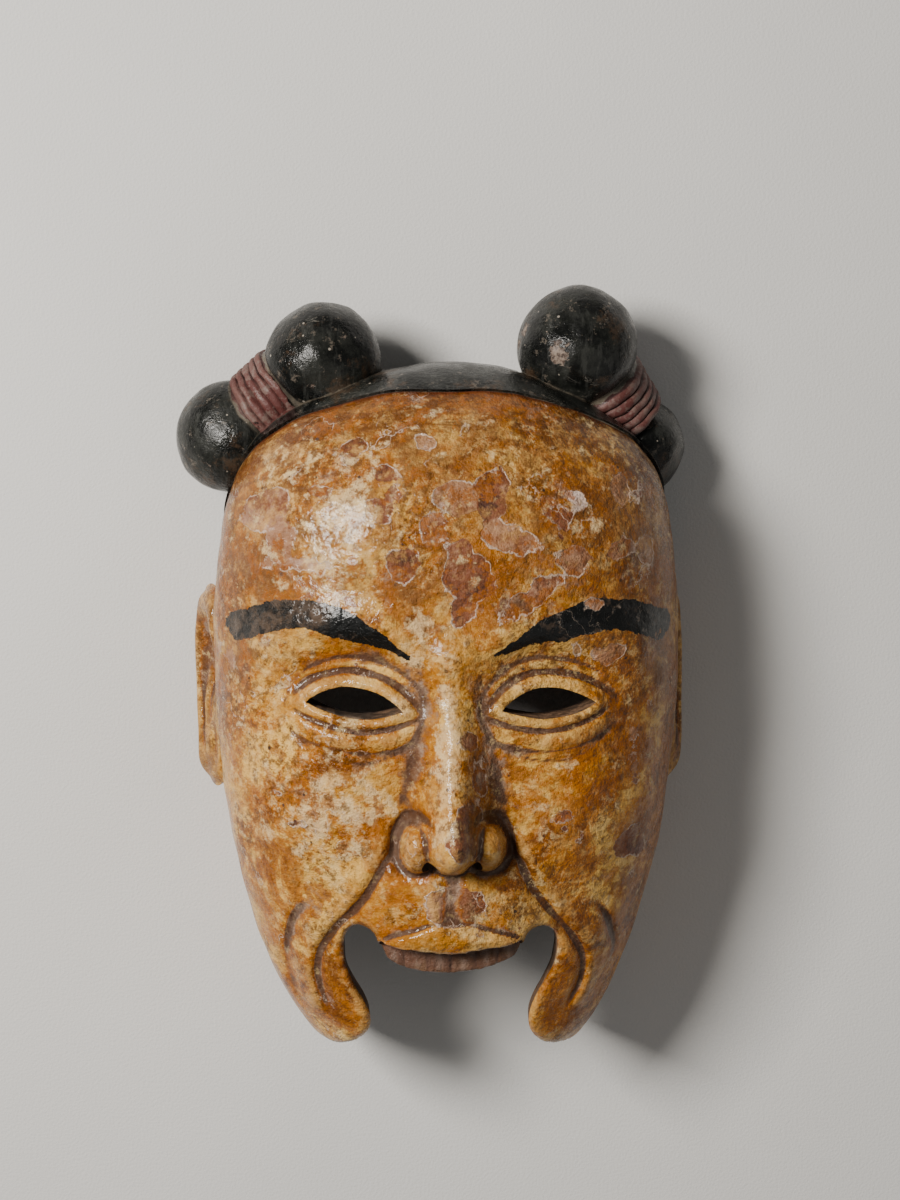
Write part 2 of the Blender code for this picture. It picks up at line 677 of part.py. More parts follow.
def hollow(collection):
    """The hollow that the wearer's face goes into, deeper behind the nose and the mouth."""
    obj = shaped_grid("hollow", *HOLLOW_GRID, collection)
    points = read_points(obj.data)
    across, up, radius = square_to_oval(points[:, 0], points[:, 1])
    reach = np.sin(np.clip(radius, 0.0, 1.0) * math.pi / 2)
    rise = np.where(up > 0.0, CROWN_RISE, CHIN_DROP) - WALL
    x = across * reach * (HALF_WIDTH - WALL)
    y = CENTRE_Y + up * reach * rise
    z = dome(x, y, WALL, FRONT_WALL)
    z = z + soft_form(x, y, NOSE_HOLLOW) + soft_form(x, y, MOUTH_HOLLOW)
    write_points(obj.data, np.column_stack([x, y, z]))
    close_back(obj, (-0.008,), 0.0)
    return obj


def nostril(side, collection):
    way = -1 if side == "left" else 1
    bm = bmesh.new()
    bmesh.ops.create_uvsphere(bm, u_segments=12, v_segments=8, radius=1.0)
    bmesh.ops.scale(bm, vec=NOSTRIL_RADII, verts=bm.verts[:])
    obj = new_object(f"nostril_{side}", bm, collection)
    obj.rotation_euler = (NOSTRIL_PITCH, 0.0, -NOSTRIL_TURN * way)
    obj.location = NOSTRIL_AT
    obj.location.x *= way
    return obj


def back_trim(collection):
    """Cuts the back flat, and sweeps it forward along the jaw."""
    y = np.linspace(SWEEP_START_Y, SWEEP_END_Y, 12)
    rise = SWEEP_RISE * ((SWEEP_START_Y - y) / (SWEEP_START_Y - SWEEP_END_Y)) ** SWEEP_POWER
    side = [(TRIM_REACH, 0.0), *zip(y, rise), (-TRIM_REACH, SWEEP_RISE * 2.4)]
    side += [(-TRIM_REACH, -TRIM_DEPTH), (TRIM_REACH, -TRIM_DEPTH)]
    obj = prism("back_trim", side, -0.150, 0.150, collection)
    turn = Matrix(((0.0, 0.0, 1.0), (1.0, 0.0, 0.0), (0.0, 1.0, 0.0))).to_4x4()
    obj.data.transform(turn)
    obj.matrix_world = Matrix.Identity(4)
    return obj


def boolean(obj, name, operation, collection):
    modifier = obj.modifiers.new(name, "BOOLEAN")
    modifier.operation = operation
    modifier.operand_type = "COLLECTION"
    modifier.collection = collection
    modifier.solver = "EXACT"


def thin(obj, name, kept):
    """Leaves out triangles where the surface is nearly flat, and keeps the given share of them."""
    modifier = obj.modifiers.new(name, "DECIMATE")
    modifier.ratio = kept


def lacquer():
    material = bpy.data.materials.new("lacquered_wood")
    material.use_nodes = True
    shader = material.node_tree.nodes["Principled BSDF"]
    shader.inputs["Base Color"].default_value = (0.46, 0.24, 0.08, 1.0)
    shader.inputs["Roughness"].default_value = 0.35
    shader.inputs["Metallic"].default_value = 0.0
    return material


def new_collection(name):
    collection = bpy.data.collections.new(name)
    bpy.context.scene.collection.children.link(collection)
    return collection


def shade_round(obj):
    """Shades a mesh smooth, apart from its sharp edges."""
    obj.data.shade_smooth()
    obj.data.set_sharp_from_angle(angle=SHARP_ANGLE)


def make_helper(obj):
    obj.hide_render = True
    obj.display_type = "WIRE"


def main():
    for obj in list(bpy.data.objects):
        bpy.data.objects.remove(obj)
    shown = new_collection("nuo_mask")
    added = new_collection("carved_on_the_head")
    cut = new_collection("cutters")
    trim = new_collection("back_cutter")

    head = carved_head(shown)
    hair_cap(added)
    for side in ("left", "right"):
        ear(side, added)
        double_bun(side, added)
        prism(f"eye_{side}", eye_outline(side), *EYE_CUT, cut)
        nostril(side, cut)
    hollow(cut)
    prism("jaw_gap", JAW_GAP, *JAW_CUT, cut)
    back_trim(trim)
    shade_round(head)
    for group in (added, cut, trim):
        for obj in group.objects:
            shade_round(obj)
            make_helper(obj)

    thin(head, "head_thinned", HEAD_KEPT)
    boolean(head, "ears_and_buns", "UNION", added)
    boolean(head, "hollow_and_openings", "DIFFERENCE", cut)
    thin(head, "all_thinned", ALL_KEPT)
    boolean(head, "flat_back", "DIFFERENCE", trim)
    head.data.materials.append(lacquer())
    for group in (shown, added, cut, trim):
        for obj in group.objects:
            obj.location.x += PLACE[0]
            obj.location.y += PLACE[1]


if __name__ == "__main__":
    main()
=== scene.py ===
"""The looks of the carved nuo mask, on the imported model's frame."""

import json
import math

import bmesh
import bpy
import numpy as np
from mathutils import Matrix, Vector, noise

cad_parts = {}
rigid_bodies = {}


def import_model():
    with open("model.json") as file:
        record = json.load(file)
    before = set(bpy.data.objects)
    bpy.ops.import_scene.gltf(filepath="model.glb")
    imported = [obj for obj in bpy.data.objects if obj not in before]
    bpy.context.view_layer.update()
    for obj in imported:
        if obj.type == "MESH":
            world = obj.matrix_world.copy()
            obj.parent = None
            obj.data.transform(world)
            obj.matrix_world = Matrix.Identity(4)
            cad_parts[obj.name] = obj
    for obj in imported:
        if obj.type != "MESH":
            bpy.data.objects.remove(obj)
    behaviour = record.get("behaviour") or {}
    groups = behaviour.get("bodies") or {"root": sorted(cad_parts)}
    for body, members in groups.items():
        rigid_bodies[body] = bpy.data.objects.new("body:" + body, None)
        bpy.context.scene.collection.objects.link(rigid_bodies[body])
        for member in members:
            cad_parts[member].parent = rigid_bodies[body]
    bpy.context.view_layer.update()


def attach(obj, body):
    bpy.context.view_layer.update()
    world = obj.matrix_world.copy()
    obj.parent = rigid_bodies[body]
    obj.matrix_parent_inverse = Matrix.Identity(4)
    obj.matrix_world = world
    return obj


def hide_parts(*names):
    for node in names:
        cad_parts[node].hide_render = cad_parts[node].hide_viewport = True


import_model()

# Driving sizes of the head
PLACE = (0.0048, 0.0009)
CENTRE_Y = 0.010
HALF_WIDTH = 0.0865
CROWN_RISE = 0.0995
CHIN_DROP = 0.178
FRONT_Z = 0.096
EDGE_Z = 0.036
JAW_POWER = 2.15
TEMPLE_POWER = 2.72
CROWN_POWER = 2.15
PROFILE_POWER = 2.35
BACK_TAPER = 0.003

# Thirds of the face, from the hairline down, and the width of one eye
FACE_THIRD = 0.0857
HAIRLINE_Y = 0.1015
BROW_Y = HAIRLINE_Y - FACE_THIRD
NOSE_BASE_Y = BROW_Y - FACE_THIRD
MOUTH_Y = NOSE_BASE_Y - FACE_THIRD / 3
EYE_WIDTH = HALF_WIDTH * 2 / 5
EYE_X = EYE_WIDTH
EYE_Y = BROW_Y - 0.3 * FACE_THIRD
NASION_Y = EYE_Y + 0.014
NOSE_TIP_Y = NOSE_BASE_Y + 0.0130
NOSE_HALF_WIDTH = EYE_WIDTH / 2

# Eye openings
UPPER_LID_RISE = 0.0072
LOWER_LID_DROP = 0.0040
EYE_TILT = math.radians(4)

# Soft forms of the face: middle, radius across and up, and height, negative in a hollow
FOREHEAD = (0.0, 0.055, 0.080, 0.058, 0.0040)
TEMPLE = (0.077, 0.020, 0.020, 0.030, -0.0012)
SOCKET = (EYE_X - 0.001, EYE_Y + 0.005, 0.029, 0.024, -0.0075)
EYEBALL = (EYE_X, EYE_Y - 0.001, 0.0245, 0.0185, 0.0065)
CHEEKBONE = (0.051, -0.044, 0.036, 0.038, 0.0042)
MUZZLE = (0.0, MOUTH_Y + 0.010, 0.046, 0.038, 0.0055)

# Rims of the lids: height, and the distances from the opening between which they end
UPPER_RIM = (0.0012, 0.0028, 0.0042)
LOWER_RIM = (0.0009, 0.0022, 0.0034)
LID_REACH = (0.016, 0.025)
LID_BLEND = 0.002

# Creases and ridges: depth or height, distance from the line they follow, and half width
UPPER_LID_CREASE = (0.0016, 0.0056, 0.0014)
LOWER_LID_CREASE = (0.0013, 0.0046, 0.0012)
POUCH_CREASE = (0.0009, 0.0120, 0.0016)
WING_CREASE = (0.0024, 0.0092, 0.0019)
PHILTRUM = (0.0014, 0.0, 0.0034)
PHILTRUM_RIDGES = (0.0006, 0.0062, 0.0022)
CHEEK_CREASE = (0.0014, 0.0, 0.0019)
JAW_CREASE = (0.0019, 0.0, 0.0021)
BROW_RIDGE = (0.0022, 0.0, 0.0085)
TOOTH_GROOVE = (0.0005, 0.0, 0.0006)

# Nose: half width and height of the bridge at the root and at the tip, the ball of the tip and
# the wings
BRIDGE_HALF_WIDTH = (0.0108, 0.0196)
BRIDGE_HEIGHT = (0.0030, 0.0205)
BRIDGE_ROOT = 0.020
TIP_ROUND = (0.0092, 0.0110)
TIP_HEIGHT = 0.0052
UNDER_NOSE_ARCH = 0.0042
WING_X = NOSE_HALF_WIDTH - 0.0056
WING_Y = NOSE_BASE_Y + 0.0102
WING_RADII = (0.0070, 0.0096, 0.0130)
WING_RING = 1.30
WING_BLEND = 0.0028
NOSTRIL_RADII = (0.0032, 0.0052, 0.0075)
NOSTRIL_AT = (0.0072, NOSE_BASE_Y + 0.0022, FRONT_Z + 0.0045)
NOSTRIL_PITCH = math.radians(38)
NOSTRIL_TURN = math.radians(18)

# Lip and teeth
LIP_HALF_WIDTH = 0.027
LIP_CURVE = 0.0035
LIP_DIP = (0.0012, 0.0, 0.007)
LIP_THICKNESS = 0.0088
LIP_BOW = (0.0012, 0.006, 0.004)
LIP_FALL = 0.0062
LIP_STEP = 0.0012
LIP_SWELL = (0.0016, 0.0, 0.0045)
TEETH_HALF_WIDTH = 0.0255
TEETH_DROP = 0.0090
TEETH_SET_BACK = 0.0020
TOOTH_WIDTH = 0.0085

# Roll of flesh outside the cheek fold, and the rounding of the edges that are cut through
ROLL_HEIGHT = 0.0021
ROLL_WIDTH = 0.013
LID_EDGE = 0.0010
TEETH_EDGE = 0.0008
JAW_EDGE = 0.0035

# Hair cap: it stands a little proud of the head behind a slanting plane through the hairline
HAIR_SLANT = (0.661, -0.750)
HAIR_OFFSET = 0.0179
HAIR_STEP = 0.0014

# Ears: long plates that lean out from the sides of the head, the left one further
EAR_HALF_WIDTH = 0.0150
EAR_HALF_HEIGHT = 0.0385
EAR_POWER = 2.7
EAR_X = {"left": 0.0848, "right": 0.0806}
EAR_Y = BROW_Y - 0.0265
EAR_Z = 0.0270
EAR_TURN = math.radians(70)
EAR_THICKNESS = 0.0042
EAR_ROOT = 0.0050
EAR_RIM = 0.0026
EAR_RECESS = 0.0040
EAR_FOLD = 0.0014
EAR_LOBE = 0.0010

# Hollow and back
WALL = 0.0120
FRONT_WALL = 0.0140
NOSE_HOLLOW = (0.0, NOSE_BASE_Y + 0.020, 0.024, 0.045, 0.010)
MOUTH_HOLLOW = (0.0, MOUTH_Y + 0.004, 0.050, 0.040, 0.006)
SWEEP_START_Y = -0.055
SWEEP_END_Y = -0.150
SWEEP_RISE = 0.028
SWEEP_POWER = 1.7
EYE_CUT = (0.030, 0.150)
JAW_CUT = (-0.020, 0.150)
TRIM_REACH = 0.250
TRIM_DEPTH = 0.080

# Double buns: centre of each ball and its radius
BUNS = {
    "left": (((-0.0458, 0.1113, 0.0340), 0.0215), ((-0.0798, 0.0824, 0.0222), 0.0210)),
    "right": (((0.0484, 0.1163, 0.0345), 0.0226), ((0.0722, 0.0785, 0.0200), 0.0182)),
}
BINDING_RADIUS = 0.0178
BINDING_WIDTH = 0.0165
BINDING_STRANDS = 5
BINDING_GROOVE = 0.0012
STRAND_ROUND = 0.45

# Fineness of the carved mesh
HEAD_GRID = (204, 302)
SIDE_RINGS = tuple(EDGE_Z - 0.0031 * step for step in range(1, 14))
CAP_GRID = (130, 120)
EAR_GRID = (44, 66)
HOLLOW_GRID = (60, 84)
BUN_STEPS = 80
BALL_STEPS = 61
STRAND_STEPS = 9
CURVE_STEPS = 10

# Edges shorter than this don't pull harder when the surface is smoothed to find its grooves
SHORT_EDGE = 0.0006

# Finest grain of the paint, in swellings to the metre, and what brings its clouds to -1 to 1
FINEST_GRAIN = 5000.0
CLOUD_SPREAD = 20.0

# Waves that the knife and the old lacquer leave in the surface
WAVES = ((16.0, 0.00045), (45.0, 0.00016), (120.0, 0.00006))
WANDER = ((34.0, 0.00110), (90.0, 0.00045))

# Seed of the noise, so that each run carves the same mask
NOISE_SEED = 11

# Places of lost lacquer, in millimetres: x, y, half width, half height, turn in degrees, and
# how dark it is
PAINT_LOSSES = (
    (-36, 80, 8.5, 4.3, 24, 0.85), (-31, 81, 3, 3, 0, 1), (-24, 72, 4.5, 4.5, 0, 0.7),
    (-21, 66, 3.2, 3.9, 0, 0.7), (-24, 60, 4.3, 3.9, 0, 0.8), (-46, 66, 3.4, 2.7, 0, 0.6),
    (-18, 42, 6.6, 4.5, -12, 0.85), (-8, 83, 2, 1.8, 0, 0.1), (14, 66, 5.7, 8.8, 0, 0.95),
    (2, 63, 8.2, 5.7, 18, 0.25), (-6, 55, 5, 4.3, 30, 0.5), (4, 46, 4.1, 5.7, 0, 0.8),
    (6, 36, 8.8, 9, 0, 0.8), (3, 25, 5, 5.7, 0, 0.75), (18, 50, 10.2, 6.2, 5, 0.3),
    (38, 58, 7.5, 3.8, -42, 0.65), (45, 65, 4.1, 6.1, 25, -0.45), (61, 67, 2.5, 4.3, 0, 0),
    (69, 67, 1.4, 2.3, 0, 0.8), (43, 41, 6.6, 5.9, 0, 0.4), (32, 32, 10.2, 4.3, 38, 0.5),
    (61, 44, 7.9, 2.5, 10, 0.35), (-66, 60, 8, 5, 12, 0.45), (-60, 48, 4, 5.2, 0, 0.35),
    (-58, 39, 1.1, 1, 0, 1.4), (72, 43, 3, 4.6, 0, 0.15), (60, 9, 10, 2.6, 3, 0.15),
    (45, 10, 1.8, 2.1, 0, 0.15), (-52, 41, 7.9, 3, -5, 0.1), (-71, 54, 6, 3.4, 10, 0.45),
    (-35, 26.5, 4.6, 1.8, -24, 0.45), (-46, 28.2, 3, 1.2, -8, 0.3), (52, 26.2, 4.2, 1.2, -5, 0.35),
    (33, 23.2, 3.6, 1.4, 30, 0.4), (66, 20, 1.4, 2.4, 20, 0.2), (1, -82, 8.8, 6.8, 0, 0.55),
    (5, -50, 5.6, 12, -10, 0.95), (9, -34, 3, 6, 8, 0.75), (5, -20, 1.6, 2, 0, 0.6),
    (-62, -42, 1.6, 1.2, 0, 0.9), (-55, -52, 1.4, 1.1, 30, 1.2), (-47, -46, 1, 1.6, -20, 1.2),
    (66, -62, 8, 5.5, 10, 0.6),
)

# Brown stains in the lacquer, in millimetres: x, y, half width, half height and strength
STAINS = (
    (45, -45, 50, 40, 1.25), (66, -10, 24, 50, 1), (50, -90, 44, 36, 0.9), (62, 30, 26, 50, 0.8),
    (30, 80, 60, 26, 0.8), (-30, 88, 60, 22, 0.7), (-72, 45, 20, 40, 1), (-76, -10, 14, 50, 0.6),
    (-68, -65, 20, 36, 0.8), (-46, -120, 30, 36, 1), (50, -124, 30, 36, 1), (-40, -28, 26, 10, 0.8),
    (40, -28, 28, 12, 1), (24, -50, 18, 44, 0.9), (-22, -66, 16, 26, 0.6), (12, 4, 14, 30, 0.6),
    (6, -52, 16, 22, 0.6), (-70, 10, 16, 16, 0.9), (30, -86, 28, 16, 0.9), (-30, -90, 22, 14, 0.5),
    (52, 4, 40, 10, 0.7), (-50, 6, 34, 8, 0.6), (12, 50, 44, 34, 0.95), (56, 62, 30, 36, 0.85),
    (-60, 82, 26, 18, 0.8), (6, 76, 50, 20, 0.9),
)

# Pale worn places, partly painted highlight, in millimetres: x, y, half width, half height and
# strength
PALE_WEAR_AND_HIGHLIGHT_SPOTS = (
    (-38, 56, 20, 22, 1), (-46, 36, 22, 10, 0.8), (-60, 74, 10, 7, 0.8), (-40, 74, 7, 5, 1),
    (-14, 14, 8, 16, 0.9), (-2, -22, 6, 26, 1.4), (-3, -52, 6, 12, 0.8), (-44, -46, 24, 22, 1.3),
    (-10, 94, 10, 4, 0.6), (12, 92, 8, 4, 0.5), (-30, -10, 16, 4, 0.7), (34, -30, 14, 4, 0.5),
    (44, 54, 10, 8, 0.6), (-64, 48, 8, 10, 0.8),
)

# Chips in the black of the buns: side, ball (0 inner, 1 outer), direction from its centre, radius
HAIR_CHIPS = (
    ("right", 0, (-0.36, -0.06, 0.92), 0.0042), ("right", 0, (-0.92, 0.30, 0.28), 0.0030),
    ("right", 0, (-0.98, 0.02, 0.16), 0.0022), ("left", 0, (0.40, 0.42, 0.80), 0.0012),
    ("left", 0, (-0.66, 0.04, 0.76), 0.0009), ("left", 0, (-0.16, -0.46, 0.88), 0.0008),
    ("left", 1, (-0.40, -0.45, 0.80), 0.0012), ("right", 1, (0.30, -0.30, 0.90), 0.0011),
    ("right", 0, (0.45, 0.60, 0.66), 0.0018),
)

# How far a soft spot fades past its size, and the distance that counts as far from a place
SPOT_REACH = 1.35
FAR = 0.02

# Painted eyebrow: the line along its middle, and its half width where it is widest
BROW_HALF_WIDTH = 0.0056
BROW_STROKE = (
    (0.0150, 0.0085), (0.0260, 0.0145), (0.0420, 0.0205), (0.0580, 0.0225), (0.0760, 0.0170),
)

# Colours of the tan lacquer, from the ground to the dirt
TAN = (0.46, 0.176, 0.008)
CREAM = (0.76, 0.435, 0.100)
PALE_CREAM = (0.86, 0.60, 0.24)
ORANGE_GLAZE = (0.37, 0.106, 0.0)
BROWN_GLAZE = (0.120, 0.027, 0.0)
FOREHEAD_WASH = (0.195, 0.083, 0.024)
PALE_GROUND = (0.72, 0.54, 0.46)
PINK_GROUND = (0.40, 0.215, 0.130)
RED_GROUND = (0.185, 0.062, 0.030)
DARK_GROUND = (0.060, 0.026, 0.020)
STREAK_BROWN = (0.120, 0.034, 0.001)
SMUDGE_BROWN = (0.080, 0.022, 0.0)
# worn pale cream that also stands for a painted highlight
WEAR_AND_HIGHLIGHT_CREAM = (0.86, 0.62, 0.32)
GROOVE_ORANGE = (0.30, 0.082, 0.0)
DARK_DIRT = (0.125, 0.062, 0.036)
GREY_DIRT = (0.310, 0.215, 0.155)
# pale gold of worn ridges, also a painted highlight
RIDGE_WEAR_AND_HIGHLIGHT = (0.62, 0.34, 0.095)
CREASE_DARKENING = (0.060, 0.028, 0.018)
PORE_DIRT = (0.110, 0.036, 0.003)
PORE_LIGHT = (0.88, 0.64, 0.28)
SPECK = (0.040, 0.022, 0.016)
FLAKE_EDGE = (0.70, 0.52, 0.40)
BROW_BLACK = (0.0050, 0.0054, 0.0052)
BROW_WORN = (0.082, 0.054, 0.036)
BROW_FLAKE = (0.24, 0.19, 0.15)
TOOTH_BROWN = (0.115, 0.060, 0.042)
TOOTH_PALE = (0.28, 0.195, 0.150)
FRINGE_RED = (0.100, 0.026, 0.010)

# Colours of the black hair and its cords
HAIR_BLACK = (0.0042, 0.0046, 0.0042)
HAIR_GREY = (0.019, 0.020, 0.017)
BRUSHED_GREY = (0.052, 0.053, 0.048)
SCUFF_BROWN = (0.070, 0.042, 0.024)
SCUFF_PALE = (0.145, 0.120, 0.095)
CREASE_DUST = (0.165, 0.135, 0.100)
GROOVE_DUST = (0.120, 0.105, 0.082)
HAIR_SPECK = (0.34, 0.30, 0.25)
SCRATCH = (0.190, 0.175, 0.150)
CHIP_BROWN = (0.095, 0.058, 0.042)
CHIP_PALE = (0.36, 0.27, 0.21)
CORD_RED = (0.088, 0.026, 0.022)
CORD_PINK = (0.135, 0.064, 0.054)
CORD_DUST = (0.180, 0.128, 0.108)
CORD_DARK = (0.036, 0.016, 0.015)

# Colours of the raw wood
WOOD_DARK = (0.075, 0.040, 0.021)
WOOD_PALE = (0.19, 0.105, 0.055)
WOOD_SHADE = (0.040, 0.028, 0.020)
WOOD_PORE = (0.025, 0.014, 0.008)
WOOD_WORN = (0.27, 0.20, 0.145)

# Camera, and the height of the frame at its aim
CAMERA_AIM = (0.0057, 0.0240, 0.045)
CAMERA_DISTANCE = 0.95
CAMERA_FROM_CROWN = math.radians(6.0)
CAMERA_FROM_LEFT = math.radians(2.0)
FRAME_HEIGHT = 0.444


def smoothstep(low, high, value):
    t = np.clip((value - low) / (high - low), 0.0, 1.0)
    return t * t * (3.0 - 2.0 * t)


def smooth_max(a, b, blend):
    mix = np.clip(0.5 + 0.5 * (a - b) / blend, 0.0, 1.0)
    return b + (a - b) * mix + blend * mix * (1.0 - mix)


def hill(x, y, centre_x, centre_y, radius_x, radius_y):
    """A soft round hill: 1 at its centre, 0 from its rim outwards."""
    share = ((x - centre_x) / radius_x) ** 2 + ((y - centre_y) / radius_y) ** 2
    return np.clip(1.0 - share, 0.0, None) ** 2


def soft_form(x, y, form):
    """Height that a soft form adds to the surface."""
    *oval, height = form
    return height * hill(x, y, *oval)


def line_mark(distance, width):
    """The section of a soft groove or ridge: 1 on the line, fading over its width."""
    return np.exp(-((distance / width) ** 2))


def crease(distance, sizes):
    """Depth of a crease, or height of a ridge, that keeps its distance from a line."""
    depth, away, width = sizes
    return depth * line_mark(distance - away, width)


def rim(distance, sizes):
    """Height of a raised rim along a line."""
    height, start, end = sizes
    return height * (1.0 - smoothstep(start, end, distance))


def spline(points, steps):
    """A smooth curve through a few points, as an array of points."""
    points = np.asarray(points, float)
    before = 2 * points[0] - points[1]
    after = 2 * points[-1] - points[-2]
    padded = np.vstack([before, points, after])
    t = np.linspace(0.0, 1.0, steps, endpoint=False)[:, None]
    found = []
    for a, b, c, d in zip(padded, padded[1:], padded[2:], padded[3:]):
        found.append(
            0.5 * (2 * b + (c - a) * t + (2 * a - 5 * b + 4 * c - d) * t**2
                   + (3 * b - a - 3 * c + d) * t**3)
        )
    found.append(points[-1:])
    return np.vstack(found)


def distance_to_line(x, y, line):
    """Distance to a line of points, the share of the line passed at the nearest point, and the
    side of it: 1 to the left of the line, -1 to its right."""
    nearest = np.full(x.shape, np.inf)
    along = np.zeros(x.shape)
    side = np.ones(x.shape)
    lengths = np.linalg.norm(np.diff(line, axis=0), axis=1)
    start = 0.0
    for (ax, ay), (bx, by), length in zip(line, line[1:], lengths):
        dx, dy = bx - ax, by - ay
        t = np.clip(((x - ax) * dx + (y - ay) * dy) / (length * length), 0.0, 1.0)
        distance = np.hypot(x - ax - t * dx, y - ay - t * dy)
        closer = distance < nearest
        nearest = np.where(closer, distance, nearest)
        along = np.where(closer, start + t * length, along)
        side = np.where(closer, np.where(dx * (y - ay) > dy * (x - ax), 1.0, -1.0), side)
        start += length
    return nearest, along / start, side


def inside(x, y, outline):
    """Whether each point lies in a closed outline."""
    found = np.zeros(x.shape, bool)
    for (ax, ay), (bx, by) in zip(outline, np.roll(outline, -1, axis=0)):
        crosses = (ay > y) != (by > y)
        if ay != by:
            found ^= crosses & (x < ax + (y - ay) * (bx - ax) / (by - ay))
    return found


def outside_distance(x, y, outline):
    """Distance from a closed outline, negative inside it."""
    closed = np.vstack([outline, outline[:1]])
    distance, _, _ = distance_to_line(x, y, closed)
    return np.where(inside(x, y, outline), -distance, distance)


def outline_power(across, up):
    """The exponent of the head's outline: even round the jaw, squarer at the temples, round at
    the crown."""
    slope = up / np.maximum(np.hypot(across, up), 1e-9)
    power = JAW_POWER + (TEMPLE_POWER - JAW_POWER) * smoothstep(0.0, 0.50, slope)
    return power + (CROWN_POWER - TEMPLE_POWER) * smoothstep(0.50, 1.00, slope)


def dome(x, y, inset=0.0, front_inset=0.0):
    """Height of the plain head shape over the rim plane, or of the hollow inside it."""
    rise = np.where(y > CENTRE_Y, CROWN_RISE, CHIN_DROP) - inset
    across = x / (HALF_WIDTH - inset)
    up = (y - CENTRE_Y) / rise
    power = outline_power(across, up)
    reach = np.clip((np.abs(across) ** power + np.abs(up) ** power) ** (1.0 / power), 0.0, 1.0)
    fall = (1.0 - reach**PROFILE_POWER) ** (1.0 / PROFILE_POWER)
    return EDGE_Z + (FRONT_Z - front_inset - EDGE_Z) * fall


def eye_distances(x, y):
    """Distances from the upper and the lower lid's edge, negative on the opening's side, and the
    place along the eye."""
    across, up = np.abs(x) - EYE_X, y - EYE_Y
    turned_x = across * math.cos(EYE_TILT) + up * math.sin(EYE_TILT)
    turned_y = up * math.cos(EYE_TILT) - across * math.sin(EYE_TILT)
    half = EYE_WIDTH / 2
    upper_radius = (half**2 + UPPER_LID_RISE**2) / (2 * UPPER_LID_RISE)
    lower_radius = (half**2 + LOWER_LID_DROP**2) / (2 * LOWER_LID_DROP)
    upper = np.hypot(turned_x, turned_y + upper_radius - UPPER_LID_RISE) - upper_radius
    lower = np.hypot(turned_x, turned_y - lower_radius + LOWER_LID_DROP) - lower_radius
    return upper, lower, turned_x


def lip_line(x):
    """Lower edge of the upper lip."""
    return MOUTH_Y + LIP_CURVE * (x / LIP_HALF_WIDTH) ** 2 - crease(x, LIP_DIP)


def teeth_line(x):
    """Lower edge of the upper teeth."""
    return MOUTH_Y - TEETH_DROP * np.sqrt(np.clip(1.0 - (x / TEETH_HALF_WIDTH) ** 2, 0.0, 1.0))


def jaw_gap():
    """Outline of the gap that the missing jaw leaves, with the slots at the mouth's corners."""
    teeth_x = np.linspace(0.0, 0.0235, 2 * CURVE_STEPS - 1)
    teeth = np.column_stack([teeth_x, teeth_line(teeth_x)])
    lobe = spline(
        [
            (0.0262, -0.0965), (0.0285, -0.0925), (0.0330, -0.0905), (0.0372, -0.0930),
            (0.0388, -0.0985), (0.0378, -0.1065), (0.0345, -0.1140), (0.0308, -0.1205),
            (0.0290, -0.1265), (0.0300, -0.1330), (0.0345, -0.1382), (0.0415, -0.1405),
            (0.0500, -0.1400), (0.0580, -0.1375), (0.0670, -0.1325), (0.0800, -0.1260),
        ],
        CURVE_STEPS,
    )
    right = np.vstack([teeth, lobe, [(0.110, -0.126), (0.110, -0.200)]])
    left = right[::-1] * (-1.0, 1.0)
    return np.vstack([right, left[:-1]])


JAW_GAP = jaw_gap()
BROW_LINE = spline([(-0.008, 0.0100), (0.0, 0.0085), (0.008, 0.0100), (0.024, 0.0165),
                    (0.046, 0.0195), (0.066, 0.0120)], 8)
CHEEK_FOLD = spline([(0.018, -0.055), (0.0235, -0.065), (0.0310, -0.078), (0.0400, -0.090),
                     (0.0475, -0.102), (0.0475, -0.114), (0.0420, -0.127)], 6)
JAW_FOLD = spline([(0.0500, -0.080), (0.0570, -0.090), (0.0600, -0.103), (0.0575, -0.116),
                   (0.0510, -0.129)], 6)


def carve_sockets(x, y, z):
    side = np.abs(x)
    *ball, height = EYEBALL
    return z + soft_form(side, y, SOCKET) + height * np.sqrt(hill(side, y, *ball))


def carve_lids(x, y, z):
    upper, lower, along = eye_distances(x, y)
    opening = np.maximum(upper, lower)
    near = 1.0 - smoothstep(*LID_REACH, np.abs(along))
    above = near * smoothstep(-LID_BLEND, LID_BLEND, upper - lower)
    below = near - above
    z = z + above * (rim(opening, UPPER_RIM) - crease(opening, UPPER_LID_CREASE))
    z = z + below * (rim(opening, LOWER_RIM) - crease(opening, LOWER_LID_CREASE))
    z = z - below * crease(opening, POUCH_CREASE)
    return round_edge(z, opening, LID_EDGE)


def round_edge(z, distance, radius):
    """Lets a surface fall away in a quarter round before an edge that is cut through."""
    into = np.clip(radius - distance, 0.0, radius)
    return z - radius + np.sqrt(radius**2 - into**2)


